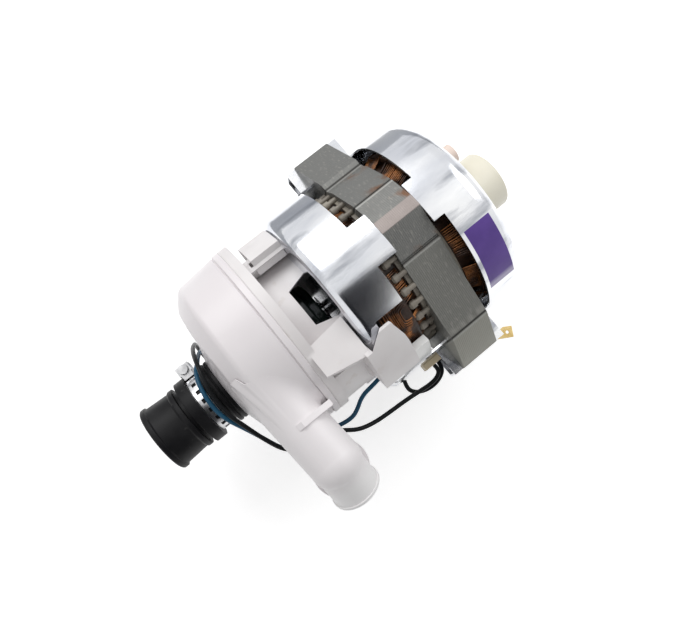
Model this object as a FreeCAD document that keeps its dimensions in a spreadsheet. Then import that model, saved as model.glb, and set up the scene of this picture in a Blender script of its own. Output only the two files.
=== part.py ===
# Dishwasher circulation pump: a plastic wet end on a shielded motor, laid along its shaft.
# Millimetres. The shaft runs along +X from the inlet mouth at the origin, +Z is up,
# and the pressure outlet leaves towards -Y.
import FreeCAD, Part
import math
import os
import re
import Sketcher
from FreeCAD import Placement, Rotation, Vector

os.makedirs("parts", exist_ok=True)
doc = FreeCAD.newDocument("CirculationPump")
sheet = doc.addObject("Spreadsheet::Sheet", "Sizes")

# Driving dimensions: alias, value, what it is
SIZES = [
    ("sleeve_bore", "13.6", "inside radius of the rubber inlet sleeve"),
    ("sleeve_length", "39", "mouth to tail of the sleeve"),
    ("sleeve_lip_radius", "18.9", "outer radius of the mouth lip"),
    ("sleeve_lip_width", "3", "width of the mouth lip"),
    ("cuff_radius", "17.9", "outer radius of the cuff behind the lip"),
    ("cuff_end", "16.5", "station where the cuff has tapered down"),
    ("cuff_end_radius", "17.1", "outer radius there"),
    ("bead_end", "19.8", "station where the second bead ends"),
    ("groove_radius", "15.8", "outer radius in the groove"),
    ("ring_start", "22.2", "station where the big ring starts"),
    ("ring_radius", "18.8", "outer radius of the big ring"),
    ("ring_width", "6", "width of the big ring"),
    ("tail_radius", "15.4", "outer radius under the hose clamp"),
    ("band_start", "28.4", "station where the clamp band starts"),
    ("band_width", "6", "width of the clamp band"),
    ("band_thick", "0.7", "thickness of the clamp band"),
    ("band_hole", "2.5", "side of the punched holes in the band"),
    ("band_hole_pitch", "20", "degrees from hole to hole"),
    ("screw_box_side", "7.6", "width of the clamp's screw housing along the shaft"),
    ("screw_box_long", "9.9", "length of the screw housing"),
    ("screw_box_foot", "2.8", "height of the foot between band and housing"),
    ("screw_box_high", "5.2", "height of the screw housing"),
    ("screw_radius", "2.1", "radius of the clamp screw"),
    ("screw_length", "11", "length of the clamp screw"),
    ("screw_head_step", "0.7", "how far the screw's head stands out all round"),
    ("screw_head_high", "1.8", "height of the screw's head"),
    ("neck_start", "18", "station of the neck's free end in the sleeve"),
    ("neck_radius", "14.1", "outer radius of the neck, over which the sleeve is stretched"),
    ("neck_wall", "2", "wall of the neck"),
    ("gasket_radius", "18.3", "outer radius of the front gasket"),
    ("gasket_thick", "5.2", "thickness of the front gasket"),
    ("gasket_groove", "0.7", "depth and half width of the groove round the gasket"),
    ("front_face", "43.1", "station of the casing's flat front"),
    ("front_flat_radius", "18.6", "radius of that flat"),
    ("cone_length", "4.1", "length of the casing's front cone"),
    ("cone_inset", "18.3", "drum radius less the front cone's radius"),
    ("shoulder_step", "1.2", "how far the drum stands back from the cone"),
    ("shoulder_drop", "11.3", "drum radius less there than at the rim"),
    ("shoulder_length", "7.1", "length of the shoulder along the shaft"),
    ("drum_taper", "2.1", "drum radius less at the shoulder than at the rim"),
    ("drum_radius", "52.3", "drum radius just in front of the rim"),
    ("drum_offset", "6.5", "drum axis from the shaft axis, towards +Y"),
    ("drum_length", "39.9", "casing's front face to the seam"),
    ("rim_width", "4", "width of the casing's rim"),
    ("rim_groove", "0.6", "width and depth of that groove"),
    ("rim_step", "0.7", "how far the rim stands out from the drum"),
    ("casing_wall", "2.6", "wall of the casing"),
    ("pipe_height", "28", "outlet pipe axis above the shaft"),
    ("pipe_root_back", "23.3", "seam to the pipe axis where it leaves the drum"),
    ("pipe_tip_back", "19.7", "seam to the pipe axis at the elbow"),
    ("pipe_root_side", "5", "how far the pipe root lies towards -Y"),
    ("elbow_side", "65", "how far the elbow centre lies towards -Y"),
    ("pipe_radius", "13.6", "outer radius of the outlet pipe"),
    ("pipe_wall", "2.6", "wall of the outlet pipe"),
    ("spout_angle", "35", "degrees that the spout points below level"),
    ("spout_length", "20.5", "elbow centre to spout mouth"),
    ("spout_radius", "12.6", "outer radius of the spout"),
    ("spout_lip", "0.7", "height and width of the lip at its mouth"),
    ("port_side", "70", "how far the lower port lies towards -Y"),
    ("port_radius", "15", "outer radius of the lower port"),
    ("port_drop", "18", "pipe axis to the lower port's shoulder"),
    ("port_bottom", "-6", "height of the port's mouth"),
    ("port_bore", "11.5", "inside radius of the lower port"),
    ("rib_thick", "3.2", "thickness of the rib from pipe to rim"),
    ("rib_side", "43.2", "how far that rib lies towards -Y"),
    ("rib_length", "23", "length of the rib, from the seam to its tip"),
    ("rib_high", "1.4", "how far the rib stands above the pipe"),
    ("flange_width", "5.5", "width of the bracket's rim"),
    ("plate_thick", "3", "thickness of the bracket's plate"),
    ("spigot_length", "4", "how deep the bracket reaches into the casing"),
    ("spigot_thick", "2.4", "thickness of that spigot"),
    ("fit_gap", "0.1", "radial gap between spigot and casing"),
    ("seal_section", "1.6", "section radius of the casing seal"),
    ("hub_radius", "38", "outer radius of the bracket's hub"),
    ("hub_wall", "2.5", "wall of the hub"),
    ("boss_wall", "2.5", "wall of the seal's boss"),
    ("boss_clear", "1", "radial gap from the fixed seal ring's bore to the hole behind it"),
    ("window_length", "11.8", "length of the hub's windows"),
    ("bracket_length", "26.5", "seam to the motor's front face"),
    ("window_centre", "2.2", "middle of the windows towards +Y"),
    ("window_narrow", "21.2", "window width at its narrow end"),
    ("window_wide", "28.2", "window width at the motor"),
    ("arm_inner", "16", "arm's inner side towards -Y"),
    ("arm_outer", "36.6", "arm's outer side towards -Y, at the motor"),
    ("arm_taper", "4.6", "how far that side draws in at the rim"),
    ("arm_flare", "2.4", "how far the inner side draws out at the motor"),
    ("arm_top", "46", "height of the arm's top"),
    ("arm_bottom", "24", "height of the arm's open underside"),
    ("arm_wall", "3", "wall of the arm"),
    ("pad_length", "18.6", "length of the pad over the motor"),
    ("pad_thick", "3.8", "thickness of the pad"),
    ("pad_gap", "0.4", "gap between pad and motor"),
    ("pad_inner_side", "30", "pad's inner corner towards -Y"),
    ("pad_set_back", "1.2", "pad's front edge before the motor's front face"),
    ("pad_web_thick", "3.6", "thickness of the web between arm and pad"),
    ("pad_web_drop", "6", "web's inner radius below the arm's top"),
    ("peg_block_long", "5", "length of the block under the pad"),
    ("peg_block_wide", "7", "width of that block"),
    ("peg_block_high", "8", "height of that block"),
    ("peg_block_foot", "17", "height of that block's underside"),
    ("pad_start_angle", "31", "degrees from the top where the pad starts"),
    ("pad_end_angle", "62", "degrees from the top where the pad ends"),
    ("lower_pad_end_angle", "48", "degrees from the bottom where the lower pad ends"),
    ("strut_inner", "31.3", "strut's inner side towards +Y"),
    ("strut_width", "6.6", "width of the strut"),
    ("strut_top", "38", "height of the strut's top"),
    ("block_length", "17.1", "length of the upper block"),
    ("block_high", "10", "height of the upper block"),
    ("block_inset", "3", "how far the upper block stays inside the motor's outline"),
    ("block_start_angle", "41", "degrees from the top where it starts"),
    ("block_end_angle", "68", "degrees from the top where it ends"),
    ("can_radius", "57", "outer radius of the motor's end shields"),
    ("can_wall", "1.2", "sheet thickness of the end shields"),
    ("can_front_round", "5.5", "front shield's edge radius"),
    ("can_rear_round", "10", "rear shield's edge radius"),
    ("front_skirt_depth", "26.9", "motor front to the front skirt's edge"),
    ("front_lobe_depth", "25.9", "motor front to the edge of the lower lobe"),
    ("front_deep_depth", "9.1", "motor front to the deep window's edge"),
    ("rear_skirt_depth", "6.2", "stack to the rear skirt's edge"),
    ("ear_lip", "4.6", "how far the ears' folded edges stand forward"),
    ("rear_depth", "31.8", "stack to the motor's rear face"),
    ("tongue_right", "8", "degrees that the tongue reaches towards -Y"),
    ("tongue_left", "16", "degrees that the tongue reaches towards +Y"),
    ("lobe_end", "28", "degrees from the top where the lower lobe ends"),
    ("ear_start", "75", "degrees from the top where the ear legs start"),
    ("front_depth", "37.5", "motor front to the stack"),
    ("stack_length", "23.2", "length of the lamination stack"),
    ("bore_step", "2.4", "how far the stack reaches in from the windings' bore"),
    ("ear_out", "15.3", "how far the ears stand out beyond the shields"),
    ("ear_top", "3.2", "height of the ears' upper corner"),
    ("ear_bottom", "-11.2", "height of the ears' lower corner"),
    ("bolt_out", "8", "through bolt beyond the shields"),
    ("bolt_height", "-4", "height of the through bolts"),
    ("bolt_radius", "2", "radius of the through bolts"),
    ("bolt_head", "3.5", "radius of the bolt heads"),
    ("bolt_head_high", "2.6", "height of the bolt heads"),
    ("nut_across", "7", "nut across its flats"),
    ("nut_high", "3.2", "height of the nuts"),
    ("coil_thick", "22.4", "thickness of the windings"),
    ("coil_gap", "7.6", "shield radius less the windings' outer radius"),
    ("coil_step", "4.4", "how much slimmer the windings are beside the stack"),
    ("coil_front_gap", "11", "motor front to the front winding"),
    ("coil_rear_gap", "7.5", "rear winding to the motor's rear face"),
    ("coil_round", "5", "edge radius of the windings"),
    ("liner_disc", "2", "thickness of the insulating disc"),
    ("liner_pin", "2.1", "radius of the insulating pegs' knobs"),
    ("liner_stem", "1.4", "radius of their stems"),
    ("liner_knob", "4", "length of their knobs, tips included"),
    ("liner_reach", "8.5", "how far the pegs stand off the stack"),
    ("liner_tip", "1.2", "length of the pegs' tapered tips"),
    ("liner_inset", "10.2", "shield radius less the insulating disc's radius"),
    ("liner_stand", "0.8", "pegs' circle beyond the disc's edge"),
    ("liner_count", "36", "number of pegs on the whole circle"),
    ("shaft_radius", "4", "radius of the shaft"),
    ("shaft_stub", "1", "how far the shaft stands out of the impeller"),
    ("shaft_tail", "10", "how far the shaft reaches past the rear shield"),
    ("running_gap", "0.02", "radial gap between shaft and bearing"),
    ("air_gap", "0.4", "gap between rotor core and stack"),
    ("cage_inset", "2.2", "rotor radius less the end rings' radius"),
    ("cage_width", "5", "width of the end rings"),
    ("cage_thick", "9", "thickness of the end rings"),
    ("fin_count", "10", "number of cast fins on each end ring"),
    ("fin_length", "3", "length of the cast fins"),
    ("bearing_radius", "11", "outer radius of the ball bearings"),
    ("bearing_width", "7", "width of the ball bearings"),
    ("impeller_radius", "34", "outer radius of the impeller"),
    ("eye_radius", "12.5", "radius of the impeller's eye"),
    ("impeller_clear", "4.2", "casing wall to the impeller's front disc"),
    ("impeller_disc", "2", "thickness of the impeller's discs"),
    ("seal_space", "11", "impeller's back to the seal's fixed face"),
    ("blade_thick", "1.8", "thickness of the blades"),
    ("blade_count", "7", "number of blades"),
    ("blade_curve", "24", "radius of the blades' arc"),
    ("impeller_hub", "7.5", "radius of the impeller's hub"),
    ("nut_reach", "5", "height of the impeller nut"),
    ("seat_back", "7", "seam to the seal's fixed face"),
    ("seat_thick", "4.5", "thickness of the fixed seal ring"),
    ("seat_bore", "5", "bore of the fixed seal ring"),
    ("seat_radius", "10.5", "outer radius of the fixed seal ring"),
    ("boot_thick", "1.5", "thickness of the rubber round the fixed ring"),
    ("seal_gap", "0.3", "gap between the two seal faces"),
    ("seal_ring_width", "4", "width of the rotating seal ring"),
    ("spring_radius", "8.6", "mean radius of the seal spring"),
    ("spring_wire", "0.6", "radius of the spring wire"),
    ("slinger_radius", "33", "outer radius of the black slinger"),
    ("slinger_room", "14.5", "slinger's disc to the motor's front face"),
    ("slinger_disc", "2.4", "thickness of its disc"),
    ("slinger_hub", "26", "radius of its hub"),
    ("slinger_cup", "20", "radius of its raised cup"),
    ("slinger_hub_long", "4.6", "length of its hub"),
    ("slinger_cup_long", "5", "length of its cup"),
    ("cap_radius", "17", "outer radius of the rear cap"),
    ("cap_length", "26.8", "length of the rear cap"),
    ("cap_wall", "2.4", "wall of the rear cap"),
    ("peg_radius", "5.4", "radius of the small rear peg"),
    ("peg_length", "11", "length of the small rear peg"),
    ("peg_side", "19", "peg from the shaft towards +Y"),
    ("peg_height", "24", "peg above the shaft"),
    ("holder_start_angle", "61", "degrees from the top where the holder starts"),
    ("holder_end_angle", "88", "degrees from the top where the holder ends"),
    ("holder_gap", "9.4", "terminal holder to the stack"),
    ("holder_thick", "4.8", "thickness of the terminal holder"),
    ("clip_back", "16", "clip's front to the stack"),
    ("clip_length", "10.5", "length of the lead clip"),
    ("clip_depth", "3.6", "how far the clip stands off the motor"),
    ("clip_top", "1", "height of the clip's top"),
    ("clip_high", "8", "height of the clip"),
    ("spade_width", "6.3", "width of the earth tab"),
    ("spade_thick", "0.8", "thickness of the earth tab"),
    ("spade_length", "10.4", "length of the earth tab beyond its foot"),
    ("spade_foot", "3", "height of the foot on the ear"),
    ("notch_room", "0.6", "room around the earth tab in the ear's folded edge"),
    ("spade_hole", "0.9", "radius of the hole in the earth tab"),
    ("spade_height", "-3", "height of the earth tab"),
    ("lead_radius", "1.2", "radius of the leads"),
    ("lead_hole_side", "47.5", "lead hole in the front shield, towards -Y"),
    ("lead_hole_height", "-4", "height of the lead hole"),
    ("plug_length", "16", "length of the leads' connector"),
    ("plug_width", "14", "width of the connector"),
    ("plug_high", "8", "height of the connector"),
]
for row, (alias, number, meaning) in enumerate(SIZES, start=1):
    sheet.set("A%d" % row, number)
    sheet.setAlias("A%d" % row, alias)
    sheet.set("B%d" % row, meaning)
doc.recompute()

FUNCTIONS = ("sqrt", "sin", "cos", "tan")

# Stations along the shaft and radii that follow from the driving dimensions
DERIVED = {
    "cone_end": "front_face + cone_length",
    "shoulder_start": "cone_end + shoulder_step",
    "shoulder_end": "shoulder_start + shoulder_length",
    "shoulder_radius": "drum_radius - shoulder_drop",
    "cone_radius": "drum_radius - cone_inset",
    "drum_front_radius": "drum_radius - drum_taper",
    "rim_radius": "drum_radius + rim_step",
    "seam": "front_face + drum_length",
    "rim_start": "seam - rim_width",
    "pipe_root": "seam - pipe_root_back",
    "pipe_tip": "seam - pipe_tip_back",
    "rib_tip": "seam - rib_length",
    "port_top": "pipe_height - port_drop",
    "motor_front": "seam + bracket_length",
    "window_start": "motor_front - window_length",
    "block_start": "motor_front - block_length",
    "block_radius": "can_radius - block_inset",
    "block_inner_radius": "block_radius - block_high",
    "front_skirt": "motor_front + front_skirt_depth",
    "front_lobe": "motor_front + front_lobe_depth",
    "front_deep": "motor_front + front_deep_depth",
    "stack_start": "motor_front + front_depth",
    "stack_end": "stack_start + stack_length",
    "rear_skirt": "stack_end + rear_skirt_depth",
    "motor_rear": "stack_end + rear_depth",
    "ear_reach": "can_radius + ear_out",
    "bolt_side": "can_radius + bolt_out",
    "coil_outer": "can_radius - coil_gap",
    "coil_neck": "coil_outer - coil_step",
    "coil_inner": "coil_outer - coil_thick",
    "stack_bore": "coil_inner - bore_step",
    "coil_front_end": "motor_front + coil_front_gap",
    "coil_rear_end": "motor_rear - coil_rear_gap",
    "liner_edge": "can_radius - liner_inset",
    "liner_ring": "liner_edge + liner_stand",
    "rotor_radius": "stack_bore - air_gap",
    "cage_radius": "rotor_radius - cage_inset",
    "seat_start": "seam - seat_back",
    "impeller_back": "seat_start - seal_space",
    "impeller_front": "cone_end + casing_wall + impeller_clear",
    "blade_width": "impeller_back - impeller_front - impeller_disc - impeller_disc",
    "shaft_start": "impeller_front - shaft_stub",
    "shaft_end": "motor_rear + shaft_tail",
    "slinger_start": "motor_front - slinger_room",
    "holder_end": "stack_start - holder_gap",
    "clip_start": "stack_start - clip_back",
}


def size(alias):
    """A driving dimension, or a sum of them, as a number."""
    if alias not in DERIVED:
        return float(sheet.get(alias))
    terms = re.findall(r"([+-]?) ?([a-z_]+)", DERIVED[alias])
    return sum(-size(word) if sign == "-" else size(word) for sign, word in terms)


def bound(text):
    """An expression on the sheet, from a formula that names its cells."""
    def cell(match):
        word = match.group(0)
        if word in DERIVED:
            return "(%s)" % bound(DERIVED[word])
        return word if word in FUNCTIONS else "Sizes." + word
    return re.sub(r"[a-z_]+", cell, text)


def bind(item, **formulas):
    """Tie properties of an object to formulas on the sheet."""
    for name, formula in formulas.items():
        item.setExpression(name.replace("__", "."), bound(formula))
    return item


def primitive(kind, name, **formulas):
    return bind(doc.addObject("Part::" + kind, name), **formulas)


def place(item, at=(None, None, None), axis=None, angle=0):
    """Turn an object about its own origin and tie its position to the sheet."""
    if axis is not None:
        item.Placement = Placement(Vector(), Rotation(Vector(*axis), angle))
    for letter, formula in zip("xyz", at):
        if formula is not None:
            item.setExpression("Placement.Base." + letter, bound(formula))
    return item


def rod(name, radius, length, at, direction="X"):
    """A cylinder along X, -Y or -Z."""
    item = primitive("Cylinder", name, Radius=radius, Height=length)
    turns = {"X": ((0, 1, 0), 90), "Y": ((1, 0, 0), 90), "Z": ((1, 0, 0), 180)}
    axis, angle = turns[direction]
    return place(item, at, axis, angle)


def box(name, length, width, height, at):
    item = primitive("Box", name, Length=length, Width=width, Height=height)
    return place(item, at)


def sector(name, radius, start, length, first, last, side=None):
    """A solid sector along the shaft; angles are degrees from the top, positive towards -Y."""
    item = primitive("Cylinder", name, Radius=radius, Height=length)
    item.Angle = last - first
    upright = Rotation(Vector(0, 0, 1), Vector(0, -1, 0), Vector(1, 0, 0), "ZXY")
    item.Placement = Placement(Vector(), Rotation(Vector(1, 0, 0), first).multiply(upright))
    return place(item, (start, side, None))


def shell(name, outer, inner, start, length, first, last, side=None):
    """A curved plate between two radii."""
    solid = sector(name + "_solid", outer, start, length, first, last, side)
    hollow = sector(name + "_hollow", inner, start, length, first, last, side)
    return cut(name, solid, hollow)


def fuse(name, parts):
    item = doc.addObject("Part::MultiFuse", name)
    item.Shapes = parts
    item.Refine = True
    return item


def cut(name, base, tool):
    item = doc.addObject("Part::Cut", name)
    item.Base = base
    item.Tool = tool
    item.Refine = True
    return item


def mirrored(name, source, normal):
    item = doc.addObject("Part::Mirroring", name)
    item.Source = source
    item.Normal = Vector(*normal)
    return item


def aimed(item, target):
    """Turn an object's own Z axis to a direction, keeping its place."""
    item.Placement = Placement(Vector(), Rotation(Vector(0, 0, 1), target))
    return item


def plane_of(body, role):
    return next(f for f in body.Origin.OriginFeatures if f.Role == role)


def outline(body, name, plane, corners, level=None):
    """A closed sketch of straight lines; each corner is a pair of formulas on the sheet."""
    sketch = body.newObject("Sketcher::SketchObject", name)
    sketch.AttachmentSupport = [(plane_of(body, plane), "")]
    sketch.MapMode = "FlatFace"
    if level is not None:
        sketch.setExpression("AttachmentOffset.Base.z", bound(level))
    count = len(corners)
    ring = [Vector(50 * math.cos(2 * math.pi * k / count), 50 * math.sin(2 * math.pi * k / count))
            for k in range(count)]
    for k in range(count):
        sketch.addGeometry(Part.LineSegment(ring[k], ring[(k + 1) % count]), False)
    for k in range(count):
        sketch.addConstraint(Sketcher.Constraint("Coincident", k, 2, (k + 1) % count, 1))
    for k, corner in enumerate(corners):
        for formula, kind, start, axis in ((corner[0], "DistanceX", ring[k].x, -2),
                                           (corner[1], "DistanceY", ring[k].y, -1)):
            if formula == "0":
                sketch.addConstraint(Sketcher.Constraint("PointOnObject", k, 1, axis))
                continue
            index = sketch.addConstraint(Sketcher.Constraint(kind, -1, 1, k, 1, start))
            sketch.setExpression("Constraints[%d]" % index, bound(formula))
    return sketch


def ring_edges(shape, places):
    """Names of the circular edges about the X axis at the given stations and radii."""
    found = []
    for index, edge in enumerate(shape.Edges, start=1):
        if edge.Curve.TypeId != "Part::GeomCircle":
            continue
        for station, radius in places:
            if abs(edge.Curve.Center.x - station) < 0.01 and abs(edge.Curve.Radius - radius) < 0.01:
                found.append("Edge%d" % index)
    return found


def turned(label, corners, rounds=(), side=None):
    """A body turned about the X axis from its half section, with rounded rings."""
    body = doc.addObject("PartDesign::Body", label)
    body.Label = label
    sketch = outline(body, label + "_section", "XZ_Plane", corners)
    turn = body.newObject("PartDesign::Revolution", label + "_turn")
    turn.Profile = sketch
    turn.ReferenceAxis = (sketch, ["H_Axis"])
    turn.Angle = 360
    doc.recompute()
    last = turn
    for number, (places, radius) in enumerate(rounds):
        fillet = body.newObject("PartDesign::Fillet", "%s_round%d" % (label, number))
        fillet.Base = (last, ring_edges(last.Shape, places))
        bind(fillet, Radius=radius)
        doc.recompute()
        last = fillet
    if side is not None:
        body.setExpression("Placement.Base.y", bound(side))
    return body


def padded(label, corners, start, length, plane="YZ_Plane", both=False):
    """A body padded from an outline of straight lines."""
    body = doc.addObject("PartDesign::Body", label)
    body.Label = label
    sketch = outline(body, label + "_outline", plane, corners, start)
    pad = body.newObject("PartDesign::Pad", label + "_pad")
    pad.Profile = sketch
    pad.Midplane = both
    bind(pad, Length=length)
    return body


def tube_ring(label, outer, inner, start, length):
    """A plain ring about the shaft."""
    end = "%s + %s" % (start, length)
    return turned(label, [(start, inner), (end, inner), (end, outer), (start, outer)])


def finish(label, item):
    """Name the object that stands for one sub-part."""
    item.Label = label
    NODES.append((label, item))
    return item


NODES = []


# Inlet: rubber sleeve, hose clamp and front gasket
sleeve = turned("inlet_sleeve", [
    ("0", "sleeve_bore"),
    ("neck_start", "sleeve_bore"),
    ("neck_start", "neck_radius"),
    ("sleeve_length", "neck_radius"),
    ("sleeve_length", "tail_radius"),
    ("ring_start + ring_width", "tail_radius"),
    ("ring_start + ring_width", "ring_radius"),
    ("ring_start", "ring_radius"),
    ("ring_start", "groove_radius"),
    ("bead_end", "groove_radius"),
    ("bead_end", "cuff_radius"),
    ("cuff_end + 0.8", "cuff_radius"),
    ("cuff_end", "cuff_end_radius"),
    ("sleeve_lip_width + 0.6", "cuff_radius"),
    ("sleeve_lip_width", "sleeve_lip_radius"),
    ("0.8", "sleeve_lip_radius"),
    ("0", "sleeve_lip_radius - 0.8")])
finish("inlet_sleeve", sleeve)

band_mid = "band_start + band_width / 2"
band_ring = tube_ring("band_ring", "tail_radius + band_thick", "tail_radius", "band_start", "band_width")
HOLES_BESIDE_HOUSING = 2
hole_count = int(round(360 / size("band_hole_pitch"))) - 2 * HOLES_BESIDE_HOUSING
band_holes = []
for k in range(hole_count):
    # The run of holes is centred opposite the housing, which sits at +Y
    angle = 90 + (k - (hole_count - 1) / 2) * size("band_hole_pitch")
    hole = primitive("Box", "band_hole_%d" % k, Length="band_hole", Width="band_hole",
                     Height="tail_radius + 3")
    turn = Rotation(Vector(1, 0, 0), angle)
    offset = turn.multVec(Vector(0, -size("band_hole") / 2, 0))
    hole.Placement = Placement(offset, turn)
    hole.setExpression("Placement.Base.x", bound(band_mid + " - band_hole / 2"))
    band_holes.append(hole)
finish("clamp_band", cut("clamp_band", band_ring, fuse("band_holes", band_holes)))

foot_y = "tail_radius + band_thick"
barrel_y = foot_y + " + screw_box_foot"
screw_y = barrel_y + " + screw_box_high / 2"
screw_foot = box("screw_foot", "band_width", "screw_box_foot + 0.5", "screw_box_long",
                 ("band_start", foot_y, "-screw_box_long / 2"))
screw_box = box("screw_box", "screw_box_side", "screw_box_high", "screw_box_long",
                (band_mid + " - screw_box_side / 2", barrel_y, "-screw_box_long / 2"))
screw_channel = rod("screw_channel", "screw_radius", "screw_box_long + 2",
                    (band_mid, screw_y, "screw_box_long / 2 + 1"), "Z")
finish("clamp_housing", cut("clamp_housing", fuse("screw_box_solid", [screw_foot, screw_box]),
                            screw_channel))
screw_top = "screw_length - screw_box_long / 2 - 1"
screw_shank = rod("screw_shank", "screw_radius - 0.1", "screw_length", (band_mid, screw_y, screw_top), "Z")
screw_head = primitive("Cylinder", "screw_head", Radius="screw_radius + screw_head_step",
                       Height="screw_head_high")
place(screw_head, (band_mid, screw_y, screw_top))
finish("clamp_screw", fuse("clamp_screw", [screw_shank, screw_head]))

gasket_front = "front_face - gasket_thick"
gasket_middle = "front_face - gasket_thick / 2"
finish("inlet_gasket", turned("inlet_gasket", [
    (gasket_front, "tail_radius"),
    ("sleeve_length", "tail_radius"),
    ("sleeve_length", "neck_radius"),
    ("front_face", "neck_radius"),
    ("front_face", "gasket_radius - 0.3"),
    ("front_face - 0.3", "gasket_radius"),
    (gasket_middle + " + gasket_groove", "gasket_radius"),
    (gasket_middle, "gasket_radius - gasket_groove"),
    (gasket_middle + " - gasket_groove", "gasket_radius"),
    (gasket_front + " + 0.6", "gasket_radius"),
    (gasket_front, "gasket_radius - 0.6")]))

# Casing: drum, neck, outlet pipe with elbow, spout and lower port, moulded in one
inner_r = "drum_radius - casing_wall"
drum = turned("drum_outside", [
    ("cone_end", "0"),
    ("cone_end", "cone_radius"),
    ("shoulder_start", "shoulder_radius"),
    ("shoulder_end", "drum_front_radius"),
    ("rim_start - rim_groove", "drum_radius"),
    ("rim_start", "drum_radius - rim_groove"),
    ("rim_start + rim_groove", "rim_radius"),
    ("seam - 0.4", "rim_radius"),
    ("seam", "rim_radius - 0.4"),
    ("seam", "0")],
    rounds=[([(size("shoulder_start"), size("shoulder_radius")),
              (size("shoulder_end"), size("drum_front_radius"))], "casing_wall * 2")],
    side="drum_offset")
front_cone = turned("front_cone", [
    ("front_face", "0"),
    ("front_face", "front_flat_radius"),
    ("cone_end + 0.5", "cone_radius"),
    ("cone_end + 0.5", "0")])
cavity = turned("drum_inside", [
    ("cone_end + casing_wall", "0"),
    ("cone_end + casing_wall", "cone_radius"),
    ("shoulder_start + casing_wall", "shoulder_radius - casing_wall / 2"),
    ("shoulder_end + 0.5", "drum_front_radius - casing_wall"),
    ("rim_start - spigot_length", inner_r),
    ("seam + 1", inner_r),
    ("seam + 1", "0")],
    side="drum_offset")
neck_outer = rod("neck_outside", "neck_radius", "front_face - neck_start + 1",
                 ("neck_start", None, None))
neck_inner = rod("neck_inside", "neck_radius - neck_wall", "front_face - neck_start + 10",
                 ("neck_start - 1", None, None))

pipe_run = Vector(size("pipe_tip") - size("pipe_root"), size("pipe_root_side") - size("elbow_side"), 0)
pipe_length = "sqrt((pipe_tip - pipe_root) ^ 2 + (elbow_side - pipe_root_side) ^ 2)"
pipe_at = ("pipe_root", "-pipe_root_side", "pipe_height")
elbow_at = ("pipe_tip", "-elbow_side", "pipe_height")


def pipe_piece(name, radius):
    pipe = aimed(primitive("Cylinder", name, Radius=radius, Height=pipe_length), pipe_run)
    return place(pipe, pipe_at)


# The ball is a touch larger than the pipe, so that the two meet in a clean edge
def ball(name, radius):
    return place(primitive("Sphere", name, Radius=radius), elbow_at)


spout_dip = math.radians(size("spout_angle"))
spout_way = Vector(0, -math.cos(spout_dip), -math.sin(spout_dip))


def spout_piece(name, radius, length, start="0"):
    """A cylinder on the spout's axis, starting a distance from the elbow's centre."""
    piece = aimed(primitive("Cylinder", name, Radius=radius, Height=length), spout_way)
    return place(piece, ("pipe_tip", "-elbow_side - (%s) * cos(spout_angle)" % start,
                         "pipe_height - (%s) * sin(spout_angle)" % start))


outside = [drum, front_cone, neck_outer,
           pipe_piece("pipe_outside", "pipe_radius"),
           ball("elbow_outside", "pipe_radius + 0.1"),
           spout_piece("spout_outside", "spout_radius", "spout_length"),
           spout_piece("spout_rim", "spout_radius + spout_lip", "spout_lip * 2",
                       "spout_length - spout_lip * 2"),
           rod("port_outside", "port_radius", "port_top - port_bottom",
               ("pipe_tip", "-port_side", "port_top"), "Z")]
rib_low = "pipe_height - pipe_radius + pipe_wall"
rib = padded("outlet_rib", [
    ("rib_tip", "pipe_height + pipe_radius + rib_high / 6"),
    ("rib_tip + 3", "pipe_height + pipe_radius + rib_high"),
    ("rim_start + 1", "pipe_height + pipe_radius - 4.4"),
    ("rim_start + 1", rib_low),
    ("rib_tip", rib_low)], "rib_side - rib_thick", "rib_thick", "XZ_Plane")
outside.append(rib)
bore = "pipe_radius - pipe_wall"
inside = [cavity, neck_inner,
          pipe_piece("pipe_inside", bore),
          ball("elbow_inside", bore + " + 0.1"),
          spout_piece("spout_inside", "spout_radius - pipe_wall", "spout_length + 1"),
          rod("port_inside", "port_bore", "port_top + 2 - port_bottom",
              ("pipe_tip", "-port_side", "port_top + 1"), "Z")]
casing = cut("volute_casing", fuse("casing_outside", outside), fuse("casing_inside", inside))
finish("volute_casing", casing)

# Seal ring in the corner between the casing and the bracket's spigot
seal_at = "drum_radius - casing_wall - fit_gap - seal_section"
seal_ring = primitive("Torus", "casing_seal", Radius1=seal_at, Radius2="seal_section")
place(seal_ring, ("seam - spigot_length - seal_section", "drum_offset", None), (0, 1, 0), 90)
finish("casing_seal", seal_ring)

# Motor bracket: rim, plate, hub with windows, arms, pads, strut and block in one
spigot_outer = "drum_radius - casing_wall - fit_gap"
rim = turned("bracket_rim", [
    ("seam", "0"),
    ("seam", "rim_radius - 0.4"),
    ("seam + 0.4", "rim_radius"),
    ("seam + flange_width", "rim_radius"),
    ("seam + flange_width", "rim_radius - arm_wall"),
    ("seam + plate_thick", "rim_radius - arm_wall"),
    ("seam + plate_thick", "0")],
    side="drum_offset")
spigot = turned("bracket_spigot", [
    ("seam - spigot_length", spigot_outer),
    ("seam + 0.5", spigot_outer),
    ("seam + 0.5", spigot_outer + " - spigot_thick"),
    ("seam - spigot_length", spigot_outer + " - spigot_thick")],
    side="drum_offset")
hub = rod("hub_outside", "hub_radius", "motor_front - seam", ("seam", None, None))
hub_hollow = rod("hub_inside", "hub_radius - hub_wall", "motor_front - seam - plate_thick + 1",
                 ("seam + plate_thick", None, None))
boss = rod("seal_boss", "seat_radius + boot_thick + boss_wall", "seam - seat_start + 1",
           ("seat_start", None, None))
boss_hollow = rod("seal_pocket", "seat_radius + boot_thick", "seat_thick + 1",
                  ("seat_start - 1", None, None))
shaft_hole = rod("shaft_hole", "seat_bore + boss_clear", "seat_back + plate_thick + 1",
                 ("seat_start", None, None))

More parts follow.
